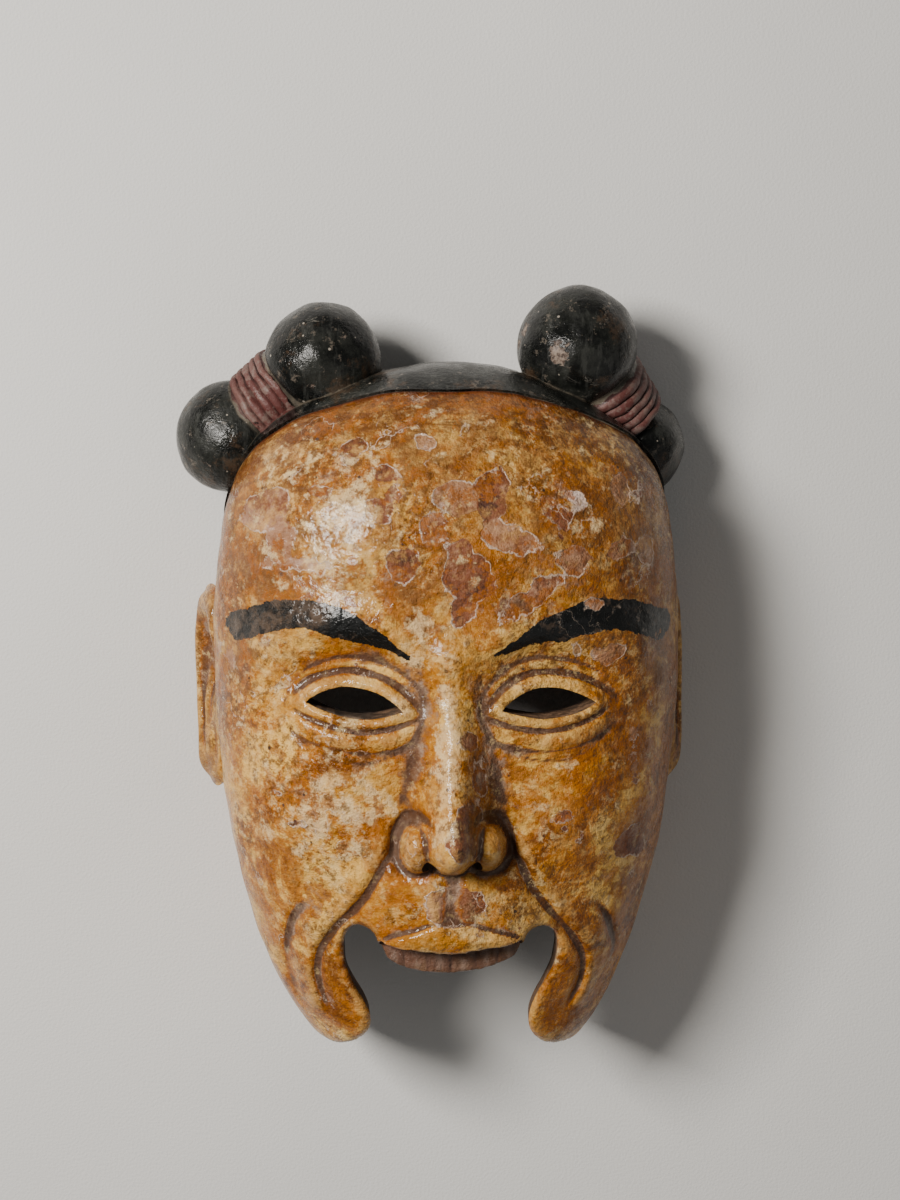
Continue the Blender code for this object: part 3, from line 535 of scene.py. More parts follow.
def carve_nose(x, y, z):
    side = np.abs(x)
    down = smoothstep(NASION_Y, NOSE_TIP_Y, y)
    base = NOSE_BASE_Y + UNDER_NOSE_ARCH * smoothstep(0.001, 0.011, side)
    under = np.clip((NOSE_TIP_Y - y) / (NOSE_TIP_Y - base), 0.0, 1.0)
    fade = (1.0 - under**2.4) ** 0.65
    half = np.interp(down, (0.0, 1.0), BRIDGE_HALF_WIDTH)
    height = np.interp(down, (0.0, 1.0), BRIDGE_HEIGHT) * fade
    height = height * (1.0 - smoothstep(NASION_Y, NASION_Y + BRIDGE_ROOT, y))
    z = z + height * (1.0 - smoothstep(0.0, half, side))
    tip = line_mark(x, TIP_ROUND[0]) * line_mark(y - NOSE_TIP_Y, TIP_ROUND[1])
    z = z + TIP_HEIGHT * fade * tip
    ring = np.hypot(side - WING_X, (y - WING_Y) / WING_RING)
    outer = smoothstep(0.004, 0.010, side) * smoothstep(NOSE_BASE_Y - 0.004, NOSE_BASE_Y + 0.006, y)
    z = z - crease(ring, WING_CREASE) * outer
    wing = ball_height(side, y, (WING_X, WING_Y), dome(x * 0.0, y), WING_RADII)
    return smooth_max(z, wing, WING_BLEND)


def ball_height(x, y, centre, centre_z, radii):
    """Height of the front of an ellipsoid, falling steeply away beyond its outline."""
    share = ((x - centre[0]) / radii[0]) ** 2 + ((y - centre[1]) / radii[1]) ** 2
    beyond = np.clip(np.sqrt(share) - 1.0, 0.0, None)
    return centre_z + radii[2] * np.sqrt(np.clip(1.0 - share, 0.0, 1.0)) - 0.05 * beyond


def carve_mouth(x, y, z):
    side = np.abs(x)
    z = z + soft_form(x, y, MUZZLE)
    under_nose = smoothstep(MOUTH_Y + 0.009, MOUTH_Y + 0.012, y)
    under_nose = under_nose * smoothstep(NOSE_BASE_Y + 0.002, NOSE_BASE_Y - 0.003, y)
    z = z + under_nose * (crease(side, PHILTRUM_RIDGES) - crease(x, PHILTRUM))
    border = MOUTH_Y + LIP_THICKNESS + crease(side, LIP_BOW) - LIP_FALL * (x / LIP_HALF_WIDTH) ** 2
    lip = 1.0 - smoothstep(LIP_HALF_WIDTH - 0.004, LIP_HALF_WIDTH + 0.001, side)
    lip = lip * (1.0 - smoothstep(-0.0006, 0.0010, y - border))
    middle = (border + lip_line(x)) / 2
    z = z + lip * (LIP_STEP + crease(y - middle, LIP_SWELL))
    below = 1.0 - smoothstep(-0.0007, 0.0007, y - lip_line(x))
    below = below * (1.0 - smoothstep(TEETH_HALF_WIDTH, TEETH_HALF_WIDTH + 0.0007, side))
    tooth = np.mod(side / TOOTH_WIDTH, 1.0)
    gap = np.minimum(tooth, 1.0 - tooth) * TOOTH_WIDTH
    teeth = dome(x, np.full(y.shape, MOUTH_Y)) - TEETH_SET_BACK - crease(gap, TOOTH_GROOVE)
    return z * (1.0 - below) + teeth * below


def carve_cheeks(x, y, z):
    side = np.abs(x)
    z = z + soft_form(side, y, CHEEKBONE)
    distance, along, left = distance_to_line(side, y, CHEEK_FOLD)
    outward = distance * left
    fade = smoothstep(0.0, 0.14, along) * (1.0 - smoothstep(0.90, 1.0, along))
    roll = smoothstep(-0.0015, 0.0045, outward) * line_mark(np.maximum(outward, 0.0), ROLL_WIDTH)
    z = z + fade * (ROLL_HEIGHT * roll - crease(distance, CHEEK_CREASE))
    distance, along, _ = distance_to_line(side, y, JAW_FOLD)
    fade = smoothstep(0.0, 0.25, along) * (1.0 - smoothstep(0.85, 1.0, along))
    return z - fade * crease(distance, JAW_CREASE)


def carve_brow(x, y, z):
    side = np.abs(x)
    distance, _, _ = distance_to_line(side, y, BROW_LINE)
    return z + soft_form(x, y, FOREHEAD) + crease(distance, BROW_RIDGE) + soft_form(side, y, TEMPLE)


def face_height(x, y):
    """Height of the carved face at each point, measured from the rim plane."""
    z = dome(x, y)
    z = carve_brow(x, y, z)
    z = carve_sockets(x, y, z)
    z = carve_cheeks(x, y, z)
    z = carve_mouth(x, y, z)
    z = carve_nose(x, y, z)
    z = carve_lids(x, y, z)
    radius = TEETH_EDGE + (JAW_EDGE - TEETH_EDGE) * smoothstep(0.0235, 0.0300, np.abs(x))
    return round_edge(z, outside_distance(x, y, JAW_GAP), radius)


def crowded(t, centre, width, gain):
    """Moves evenly spaced values between -1 and 1 so that they crowd round a centre."""
    table = np.linspace(-1.0, 1.0, 2001)
    density = 1.0 + gain * np.exp(-(((table - centre) / width) ** 4))
    share = np.cumsum(density)
    share = (share - share[0]) / (share[-1] - share[0]) * 2.0 - 1.0
    return np.interp(t, share, table)


def square_to_oval(u, v, power=None):
    """Turns a square grid into one with an even oval outline, from -1 to 1 both ways."""
    across = u * np.sqrt(1.0 - v * v / 2.0)
    up = v * np.sqrt(1.0 - u * u / 2.0)
    if power is None:
        power = outline_power(across, up)
    norm = (np.abs(across) ** power + np.abs(up) ** power) ** (1.0 / power)
    radius = np.hypot(across, up)
    return across / np.maximum(norm, 1e-9), up / np.maximum(norm, 1e-9), radius


def oval_points(u, v, grow=0.0):
    """Spreads a square grid over the oval outline of the head, closest where it falls away."""
    across, up, radius = square_to_oval(u, v)
    reach = 0.5 * radius + 0.5 * np.sin(np.clip(radius, 0.0, 1.0) * math.pi / 2)
    rise = np.where(up > 0.0, CROWN_RISE, CHIN_DROP) + grow
    return across * reach * (HALF_WIDTH + grow), CENTRE_Y + up * reach * rise


def new_object(name, bm, collection):
    mesh = bpy.data.meshes.new(name)
    bm.to_mesh(mesh)
    bm.free()
    obj = bpy.data.objects.new(name, mesh)
    collection.objects.link(obj)
    return obj


def read_points(mesh):
    points = np.empty(len(mesh.vertices) * 3)
    mesh.vertices.foreach_get("co", points)
    return points.reshape(-1, 3)


def read_normals(mesh):
    normals = np.empty(len(mesh.vertices) * 3)
    mesh.vertices.foreach_get("normal", normals)
    return normals.reshape(-1, 3)


def write_points(mesh, points):
    mesh.vertices.foreach_set("co", np.asarray(points, float).ravel())
    mesh.update()


def close_mesh(bm, mesh):
    """Turns every face outward and keeps the mesh."""
    bmesh.ops.recalc_face_normals(bm, faces=bm.faces[:])
    bm.to_mesh(mesh)
    bm.free()


def close_back(obj, depths, taper):
    """Extrudes the border of a shaped sheet straight back, ring by ring, and closes it."""
    bm = bmesh.new()
    bm.from_mesh(obj.data)
    ring = [edge for edge in bm.edges if edge.is_boundary]
    for depth in depths:
        made = bmesh.ops.extrude_edge_only(bm, edges=ring)["geom"]
        verts = [item for item in made if isinstance(item, bmesh.types.BMVert)]
        for vert in verts:
            vert.co.z = depth
            reach = math.hypot(vert.co.x, vert.co.y - CENTRE_Y)
            inward = taper / (len(depths) * max(reach, 1e-6))
            vert.co.x -= vert.co.x * inward
            vert.co.y -= (vert.co.y - CENTRE_Y) * inward
        ring = [item for item in made if isinstance(item, bmesh.types.BMEdge)]
        ring = [edge for edge in ring if edge.is_boundary]
    bmesh.ops.contextual_create(bm, geom=ring)
    close_mesh(bm, obj.data)


def shaped_grid(name, columns, rows, collection):
    bm = bmesh.new()
    bmesh.ops.create_grid(bm, x_segments=columns, y_segments=rows, size=1.0)
    return new_object(name, bm, collection)


def carved_head(collection):
    """The solid head before it is hollowed: carved front, side walls and a flat back."""
    head = shaped_grid("mask", *HEAD_GRID, collection)
    points = read_points(head.data)
    across = crowded(points[:, 0], 0.0, 0.60, 0.9)
    up = crowded(points[:, 1], -0.25, 0.50, 1.2)
    x, y = oval_points(across, up)
    write_points(head.data, np.column_stack([x, y, face_height(x, y)]))
    close_back(head, SIDE_RINGS, BACK_TAPER)
    return head


def hair_cap(collection):
    """The cap of hair, a slightly larger head shape cut off along the hairline."""
    cap = shaped_grid("hair_cap", *CAP_GRID, collection)
    points = read_points(cap.data)
    x, y = oval_points(points[:, 0], points[:, 1], HAIR_STEP)
    write_points(cap.data, np.column_stack([x, y, dome(x, y, -HAIR_STEP, -HAIR_STEP)]))
    close_back(cap, (0.018, -0.006), BACK_TAPER)
    bm = bmesh.new()
    bm.from_mesh(cap.data)
    slant = Vector((0.0, *HAIR_SLANT)).normalized()
    made = bmesh.ops.bisect_plane(bm, geom=bm.verts[:] + bm.edges[:] + bm.faces[:],
                                  plane_co=slant * HAIR_OFFSET, plane_no=slant, clear_inner=True)
    rim = [item for item in made["geom_cut"] if isinstance(item, bmesh.types.BMEdge)]
    bmesh.ops.contextual_create(bm, geom=rim)
    close_mesh(bm, cap.data)


def ear_height(u, v):
    """Relief of an ear over its plate, from u and v across and up it, each from -1 to 1."""
    reach = (np.abs(u) ** EAR_POWER + np.abs(v) ** EAR_POWER) ** (1.0 / EAR_POWER)
    edge = line_mark(reach - 0.80, 0.17) * smoothstep(-0.75, -0.10, u + 0.9 * v)
    recess = hill(u, v, 0.05, 0.28, 0.62, 0.52)
    fold = line_mark(np.hypot(u + 0.15, (v + 0.05) / 1.1) - 0.42, 0.15)
    fold = fold * smoothstep(0.1, -0.3, v - u)
    lobe = hill(u, v, 0.0, -0.70, 0.70, 0.45)
    relief = EAR_RIM * edge - EAR_RECESS * recess + EAR_FOLD * fold + EAR_LOBE * lobe
    return EAR_THICKNESS + relief


def ear(side, collection):
    """One ear as a carved plate that leans out from the side of the head."""
    obj = shaped_grid(f"ear_{side}", *EAR_GRID, collection)
    points = read_points(obj.data)
    across, up, radius = square_to_oval(points[:, 0], points[:, 1], EAR_POWER)
    across, up = across * radius, up * radius
    waist = 1.0 - 0.16 * hill(across * 0.0, up, 0.0, -0.30, 1.0, 0.60) - 0.10 * smoothstep(0, -1, up)
    edge = smoothstep(0.88, 1.0, radius)
    thick = ear_height(across, up) * (1.0 - 0.45 * edge)
    write_points(obj.data, np.column_stack(
        [across * waist * EAR_HALF_WIDTH, up * EAR_HALF_HEIGHT, thick]))
    bm = bmesh.new()
    bm.from_mesh(obj.data)
    ring = [item for item in bm.edges if item.is_boundary]
    made = bmesh.ops.extrude_edge_only(bm, edges=ring)["geom"]
    for item in made:
        if isinstance(item, bmesh.types.BMVert):
            item.co = (item.co.x * 0.80, item.co.y * 0.90, -EAR_ROOT)
    back = [item for item in made if isinstance(item, bmesh.types.BMEdge) and item.is_boundary]
    bmesh.ops.contextual_create(bm, geom=back)
    placed = Matrix.Translation((EAR_X[side], EAR_Y, EAR_Z)) @ Matrix.Rotation(EAR_TURN, 4, "Y")
    bmesh.ops.transform(bm, matrix=placed, verts=bm.verts[:])
    if side == "left":
        bmesh.ops.scale(bm, vec=(-1.0, 1.0, 1.0), verts=bm.verts[:])
    close_mesh(bm, obj.data)


def bun_profile(inner_radius, outer_radius, span):
    """Half outline of a double bun along its axis, from the outer ball to the inner one."""
    half = BINDING_WIDTH / 2
    middle = span * outer_radius / (inner_radius + outer_radius)
    points = []
    for angle in np.linspace(math.pi, 0.0, BALL_STEPS):
        along, radius = outer_radius * math.cos(angle), outer_radius * math.sin(angle)
        if along < middle - half:
            points.append((radius, along))
    for along in np.linspace(-half, half, BINDING_STRANDS * STRAND_STEPS + 1):
        strand = abs(math.sin(math.pi * BINDING_STRANDS * (along + half) / BINDING_WIDTH))
        dent = BINDING_GROOVE * (1.0 - strand**STRAND_ROUND)
        points.append((BINDING_RADIUS - dent, middle + along))
    for angle in np.linspace(math.pi, 0.0, BALL_STEPS):
        along, radius = span + inner_radius * math.cos(angle), inner_radius * math.sin(angle)
        if along > middle + half + BINDING_GROOVE:
            points.append((radius, along))
    return points


def double_bun(side, collection):
    """Two balls of hair bound together by cords, turned about the axis through both."""
    (inner, inner_radius), (outer, outer_radius) = BUNS[side]
    axis = Vector(inner) - Vector(outer)
    profile = bun_profile(inner_radius, outer_radius, axis.length)
    bm = bmesh.new()
    verts = [bm.verts.new((max(radius, 0.0), 0.0, along)) for radius, along in reversed(profile)]
    for a, b in zip(verts, verts[1:]):
        bm.edges.new((a, b))
    obj = new_object(f"bun_{side}", bm, collection)
    screw = obj.modifiers.new("turned", "SCREW")
    screw.steps = BUN_STEPS
    screw.render_steps = BUN_STEPS
    screw.use_merge_vertices = True
    screw.merge_threshold = 0.00005
    obj.rotation_mode = "QUATERNION"
    obj.rotation_quaternion = axis.to_track_quat("Z", "Y")
    obj.location = outer


def prism(name, outline, low, high, collection):
    """A straight prism over a closed outline in the plane of the face."""
    curve = bpy.data.curves.new(name, "CURVE")
    curve.dimensions = "2D"
    curve.fill_mode = "BOTH"
    curve.extrude = (high - low) / 2
    line = curve.splines.new("POLY")
    line.points.add(len(outline) - 1)
    for point, (x, y) in zip(line.points, outline):
        point.co = (x, y, 0.0, 1.0)
    line.use_cyclic_u = True
    drawn = bpy.data.objects.new(name + "_curve", curve)
    collection.objects.link(drawn)
    drawn.location.z = (low + high) / 2
    bpy.context.view_layer.update()
    graph = bpy.context.evaluated_depsgraph_get()
    mesh = bpy.data.meshes.new_from_object(drawn.evaluated_get(graph))
    bm = bmesh.new()
    bm.from_mesh(mesh)
    bmesh.ops.remove_doubles(bm, verts=bm.verts[:], dist=0.000001)
    close_mesh(bm, mesh)
    obj = bpy.data.objects.new(name, mesh)
    obj.matrix_world = drawn.matrix_world
    collection.objects.link(obj)
    bpy.data.objects.remove(drawn)
    return obj


def eye_outline(side):
    """The almond of one eye opening, from its outer corner along the lower lid and back."""
    way = -1 if side == "left" else 1
    half = EYE_WIDTH / 2
    outline = []
    for rise, sign in ((LOWER_LID_DROP, -1.0), (UPPER_LID_RISE, 1.0)):
        radius = (half**2 + rise**2) / (2 * rise)
        spread = math.asin(half / radius)
        for share in np.linspace(sign * -1.0, sign, 3 * CURVE_STEPS)[:-1]:
            angle = share * spread * -1.0
            outline.append((radius * math.sin(angle),
                            sign * (radius * math.cos(angle) - radius + rise)))
    turned = []
    for x, y in outline:
        across = x * math.cos(EYE_TILT) - y * math.sin(EYE_TILT)
        up = x * math.sin(EYE_TILT) + y * math.cos(EYE_TILT)
        turned.append((way * (EYE_X + across), EYE_Y + up))
    return turned


def hollow(collection):
    """The hollow that the wearer's face goes into, deeper behind the nose and the mouth."""
    obj = shaped_grid("hollow", *HOLLOW_GRID, collection)
    points = read_points(obj.data)
    across, up, radius = square_to_oval(points[:, 0], points[:, 1])
    reach = np.sin(np.clip(radius, 0.0, 1.0) * math.pi / 2)
    rise = np.where(up > 0.0, CROWN_RISE, CHIN_DROP) - WALL
    x = across * reach * (HALF_WIDTH - WALL)
    y = CENTRE_Y + up * reach * rise
    z = dome(x, y, WALL, FRONT_WALL)
    z = z + soft_form(x, y, NOSE_HOLLOW) + soft_form(x, y, MOUTH_HOLLOW)
    write_points(obj.data, np.column_stack([x, y, z]))
    close_back(obj, (-0.008,), 0.0)


def nostril(side, collection):
    way = -1 if side == "left" else 1
    bm = bmesh.new()
    bmesh.ops.create_uvsphere(bm, u_segments=12, v_segments=8, radius=1.0)
    bmesh.ops.scale(bm, vec=NOSTRIL_RADII, verts=bm.verts[:])
    obj = new_object(f"nostril_{side}", bm, collection)
    obj.rotation_euler = (NOSTRIL_PITCH, 0.0, -NOSTRIL_TURN * way)
    obj.location = NOSTRIL_AT
    obj.location.x *= way


def back_trim(collection):
    """Cuts the back flat, and sweeps it forward along the jaw."""
    y = np.linspace(SWEEP_START_Y, SWEEP_END_Y, 12)
    rise = SWEEP_RISE * ((SWEEP_START_Y - y) / (SWEEP_START_Y - SWEEP_END_Y)) ** SWEEP_POWER
    side = [(TRIM_REACH, 0.0), *zip(y, rise), (-TRIM_REACH, SWEEP_RISE * 2.4)]
    side += [(-TRIM_REACH, -TRIM_DEPTH), (TRIM_REACH, -TRIM_DEPTH)]
    obj = prism("back_trim", side, -0.150, 0.150, collection)
    turn = Matrix(((0.0, 0.0, 1.0), (1.0, 0.0, 0.0), (0.0, 1.0, 0.0))).to_4x4()
    obj.data.transform(turn)
    obj.matrix_world = Matrix.Identity(4)


def boolean(obj, name, operation, collection):
    modifier = obj.modifiers.new(name, "BOOLEAN")
    modifier.operation = operation
    modifier.operand_type = "COLLECTION"
    modifier.collection = collection
    modifier.solver = "MANIFOLD"
    modifier.material_mode = "TRANSFER"


def new_collection(name):
    collection = bpy.data.collections.new(name)
    bpy.context.scene.collection.children.link(collection)
    return collection


def waves(points):
    """Height of the small unevenness at each point."""
    found = np.zeros(len(points))
    for index, point in enumerate(points):
        for scale, height in WAVES:
            found[index] += height * noise.noise(Vector(point) * scale)
    return found


def spot_field(x, y, spot_x, spot_y, half_width, half_height, turn):
    """How deep a point lies in an oval spot, and negative outside it."""
    angle = math.radians(turn)
    across = ((x - spot_x) * math.cos(angle) + (y - spot_y) * math.sin(angle)) / half_width
    up = ((y - spot_y) * math.cos(angle) - (x - spot_x) * math.sin(angle)) / half_height
    return (1.0 - np.hypot(across, up)) * min(half_width, half_height)


def paint_loss(x, y):
    """How deep a point lies in a place of lost lacquer, and how dark that place is."""
    loss = np.full(x.shape, -FAR * 1000)
    dark = np.zeros(x.shape)
    for spot_x, spot_y, half_width, half_height, turn, darkness in PAINT_LOSSES:
        field = spot_field(x, y, spot_x, spot_y, half_width, half_height, turn)
        dark = np.where(field > loss, darkness, dark)
        loss = np.maximum(loss, field)
    return loss, dark


def spread_spots(x, y, spots):
    """The strongest of a list of soft oval spots at each point."""
    found = np.zeros(x.shape)
    for spot_x, spot_y, half_width, half_height, strength in spots:
        spot = hill(x, y, spot_x, spot_y, half_width * SPOT_REACH, half_height * SPOT_REACH)
        found = np.maximum(found, strength * spot)
    return found


def brow_stroke(x, y):
    """How deep a point lies in the painted eyebrow, in metres, and how worn the paint is there."""
    side = np.abs(x)
    distance, along, _ = distance_to_line(side, y, spline(BROW_STROKE, 12))
    half = BROW_HALF_WIDTH * smoothstep(-0.13, 0.50, along)
    worn = np.where(x < 0.0, smoothstep(0.46, 0.54, along), 0.0)
    return half - distance, worn


def hair_chips(points):
    """How deep each point lies in a chip of the buns, in metres."""
    found = np.full(len(points), -FAR)
    for side, ball, direction, radius in HAIR_CHIPS:
        centre, ball_radius = BUNS[side][ball]
        way = np.array(direction) / np.linalg.norm(direction)
        spot = np.array(centre) + way * ball_radius
        found = np.maximum(found, radius - np.linalg.norm(points - spot, axis=1))
    return found


def teeth_paint(x, y):
    """Where the teeth are, and the paler bar down the middle of each."""
    mask = smoothstep(0.0006, -0.0006, y - lip_line(x)) * smoothstep(0.0262, 0.0252, np.abs(x))
    mask = mask * (y > MOUTH_Y - 0.014)
    share = np.abs(np.mod(np.abs(x) / TOOTH_WIDTH, 1.0) - 0.5)
    return mask, mask * line_mark(share, 0.16)


def deepness(mesh, steps):
    """How deep each point lies in a groove: its distance below the smoothed surface round it."""
    points = read_points(mesh)
    normals = read_normals(mesh)
    edges = np.empty(len(mesh.edges) * 2, np.int64)
    mesh.edges.foreach_get("vertices", edges)
    a, b = edges.reshape(-1, 2).T
    pull = 1.0 / np.maximum(np.linalg.norm(points[a] - points[b], axis=1), SHORT_EDGE) ** 2
    count = np.bincount(a, pull, len(points)) + np.bincount(b, pull, len(points))
    smooth = points.copy()
    for _ in range(steps):
        total = np.zeros_like(smooth)
        for axis in range(3):
            total[:, axis] = np.bincount(a, smooth[b, axis] * pull, len(points))
            total[:, axis] += np.bincount(b, smooth[a, axis] * pull, len(points))
        smooth = total / count[:, None]
    return np.einsum("ij,ij->i", smooth - points, normals)


def store(mesh, name, values):
    attribute = mesh.attributes.new(name, "FLOAT", "POINT")
    attribute.data.foreach_set("value", np.asarray(values, np.float32))


def carved_mask(skin, hair, wood):
    """The mask as one carved mesh, in the materials that it is painted with."""
    body = new_collection("mask_body")
    added = new_collection("mask_added")
    cut = new_collection("mask_cut")
    trim = new_collection("mask_trim")
    head = carved_head(body)
    points = read_points(head.data)
    front = smoothstep(0.004, 0.030, points[:, 2])
    away = read_normals(head.data) * (waves(points) * front)[:, None]
    write_points(head.data, points + away)
    hair_cap(added)
    for side in ("left", "right"):
        ear(side, added)
        double_bun(side, added)
        prism(f"eye_{side}", eye_outline(side), *EYE_CUT, cut)
        nostril(side, cut)
    hollow(cut)
    prism("jaw_gap", JAW_GAP, *JAW_CUT, cut)
    back_trim(trim)
    for obj in (*body.objects, *added.objects, *cut.objects, *trim.objects):
        kind = skin if obj.name.startswith(("mask", "ear")) else wood
        if obj.name.startswith(("hair", "bun")):
            kind = hair
        obj.data.materials.append(kind)
    boolean(head, "ears_and_buns", "UNION", added)
    boolean(head, "hollow_and_openings", "DIFFERENCE", cut)
    boolean(head, "flat_back", "DIFFERENCE", trim)
    bpy.context.view_layer.update()
    graph = bpy.context.evaluated_depsgraph_get()
    mesh = bpy.data.meshes.new_from_object(head.evaluated_get(graph), depsgraph=graph)
    for group in (body, added, cut, trim):
        for obj in list(group.objects):
            bpy.data.objects.remove(obj)
        bpy.data.collections.remove(group)
    return mesh


def binding_depth(points):
    """How deep each point lies in the cords that bind the buns, in metres."""
    found = np.full(len(points), -FAR)
    for (inner, inner_radius), (outer, outer_radius) in BUNS.values():
        axis = np.array(inner) - np.array(outer)
        span = np.linalg.norm(axis)
        axis = axis / span
        along = (points - np.array(outer)) @ axis
        away = np.linalg.norm(points - np.array(outer) - along[:, None] * axis, axis=1)
        middle = span * outer_radius / (inner_radius + outer_radius)
        near = BINDING_WIDTH / 2 + 0.0006 - np.abs(along - middle)
        found = np.maximum(found, np.minimum(near, BINDING_RADIUS + 0.0015 - away))
    return found


def uneven_hair(mesh):
    """Makes the balls a little uneven, and the cords wander."""
    points = read_points(mesh)
    normals = read_normals(mesh)
    depth = binding_depth(points)
    off_head = np.zeros(len(points))
    for balls in BUNS.values():
        for centre, radius in balls:
            away = np.linalg.norm(points - np.array(centre), axis=1)
            off_head = np.maximum(off_head, smoothstep(radius + 0.0016, radius + 0.0004, away))
    corded = smoothstep(-0.0005, 0.0010, depth)
    off_head = np.maximum(off_head, corded) * smoothstep(0.002, 0.010, points[:, 2])
    for index in np.flatnonzero(off_head > 0.0):
        here = Vector(points[index])
        swell = noise.noise(here * 60.0) * 0.00070 + noise.noise(here * 170.0) * 0.00022
        points[index] += normals[index] * swell * off_head[index]
        wander = noise.noise_vector(here * 60.0) * 0.0017 + noise.noise_vector(here * 190.0) * 0.0005
        points[index] += np.array(wander) * corded[index] * off_head[index]
    write_points(mesh, points)


def hand_carved(mesh):
    """Lets the cut lines wander a little from their drawn course."""
    points = read_points(mesh)
    free = smoothstep(0.002, 0.016, points[:, 2])
    for index in np.flatnonzero(free > 0.0):
        here = Vector(points[index])
        for scale, reach in WANDER:
            points[index] += np.array(noise.noise_vector(here * scale)) * reach * free[index]
    write_points(mesh, points)


def paint_fields(mesh):
    points = read_points(mesh)
    x, y, z = points.T
    loss, dark = paint_loss(x * 1000, y * 1000)
    store(mesh, "loss", loss)
    store(mesh, "loss_dark", dark)
    store(mesh, "stain", spread_spots(x * 1000, y * 1000, STAINS))
    store(mesh, "pale_wear_and_highlight", spread_spots(x * 1000, y * 1000, PALE_WEAR_AND_HIGHLIGHT_SPOTS))
    brow, worn = brow_stroke(x, y)
    store(mesh, "brow", brow * 1000)
    store(mesh, "brow_worn", worn)
    teeth, bars = teeth_paint(x, y)
    store(mesh, "teeth", teeth)
    store(mesh, "tooth_bar", bars)
    store(mesh, "chip", hair_chips(points) * 1000)
    store(mesh, "groove", np.clip(deepness(mesh, 14) * 1000, -1, 1))
    store(mesh, "crease", np.clip(deepness(mesh, 3) * 1000, -1, 1))
    store(mesh, "hairline", (y * HAIR_SLANT[0] + z * HAIR_SLANT[1] - HAIR_OFFSET) * 1000)
    store(mesh, "binding", binding_depth(points) * 1000)


class Finish:
    """A procedural material that is painted on in layers."""

    def __init__(self, name):
        self.material = bpy.data.materials.new(name)
        self.material.use_nodes = True
        self.tree = self.material.node_tree
        self.shader = self.tree.nodes["Principled BSDF"]
        self.here = self.place((1.0, 1.0, 1.0))
        self.colour = None

    def feed(self, socket, value):
        if isinstance(value, bpy.types.NodeSocket):
            self.tree.links.new(value, socket)
        else:
            socket.default_value = value

    def node(self, kind, inputs, **settings):
        """A new node with its settings, and with a value or a link in each named input."""
        made = self.tree.nodes.new(kind)
        for name, value in settings.items():
            setattr(made, name, value)
        for name, value in inputs.items():
            self.feed(made.inputs[name], value)
        return made

    def math(self, operation, a, b=0.0):
        return self.node("ShaderNodeMath", {0: a, 1: b}, operation=operation).outputs[0]

    def plus(self, first, *others):
        for other in others:
            first = self.math("ADD", first, other)
        return first

    def times(self, first, *others):
        for other in others:
            first = self.math("MULTIPLY", first, other)
        return first

    def field(self, name):
        return self.node("ShaderNodeAttribute", {}, attribute_name=name).outputs["Fac"]

    def place(self, scale):
        """The place on the object, squeezed or stretched along each axis."""
        coords = self.node("ShaderNodeTexCoord", {}).outputs["Object"]
        inputs = {"Vector": coords, "Scale": scale}
        return self.node("ShaderNodeMapping", inputs).outputs["Vector"]

    def clouds(self, scale, roughness=0.70, distortion=0.0, where=None):
        """Clouds with about scale swellings to the metre, down to the finest grain. They are 0 on
        average, and two thirds of them lie between -1 and 1."""
        inputs = {"Vector": where or self.here, "Scale": scale, "Roughness": roughness,
                  "Detail": max(2.0, math.log2(FINEST_GRAIN / scale)), "Distortion": distortion}
        made = self.node("ShaderNodeTexNoise", inputs)
        return self.times(self.plus(made.outputs["Fac"], -0.5), CLOUD_SPREAD)

    def ramp(self, value, low, high, to_low=0.0, to_high=1.0):
        """Rises or falls smoothly from to_low to to_high as the value goes from low to high."""
        inputs = {"Value": value, "From Min": low, "From Max": high,
                  "To Min": to_low, "To Max": to_high}
        made = self.node("ShaderNodeMapRange", inputs, interpolation_type="SMOOTHSTEP")
        return made.outputs["Result"]

    def dots(self, cells, radius, share):
        """Small round specks: cells to the metre, the largest speck's radius as a share of a
        cell, and the share of the cells that hold one."""
        made = self.node("ShaderNodeTexVoronoi", {"Vector": self.here, "Scale": cells})
        picked = self.node("ShaderNodeSeparateColor", {"Color": made.outputs["Color"]})
        size = self.times(picked.outputs["Green"], radius)
        size = self.times(size, self.ramp(picked.outputs["Red"], 1.0 - share, 1.02 - share))
        return self.ramp(self.math("SUBTRACT", size, made.outputs["Distance"]), -0.02, 0.06)

    def mix(self, factor, a, b):
        made = self.node("ShaderNodeMix", {"Factor": factor}, data_type="RGBA")
        for socket, value in ((made.inputs[6], a), (made.inputs[7], b)):
            self.feed(socket, value if isinstance(value, bpy.types.NodeSocket) else (*value, 1.0))
        return made.outputs[2]

    def over(self, factor, colour):
        """Lays a colour over what is painted so far."""
        self.colour = self.mix(factor, self.colour, colour)

    def bumped(self, height, distance, strength):
        inputs = {"Height": height, "Distance": distance, "Strength": strength}
        return self.node("ShaderNodeBump", inputs).outputs["Normal"]

    def done(self, roughness, height, distance=0.001, strength=1.0, **shine):
        """The finished material, with any steady shader values such as Coat_Weight."""
        self.feed(self.shader.inputs["Base Color"], self.colour)
        self.feed(self.shader.inputs["Roughness"], roughness)
        self.feed(self.shader.inputs["Normal"], self.bumped(height, distance, strength))
        for name, value in shine.items():
            self.feed(self.shader.inputs[name.replace("_", " ")], value)
        return self.material


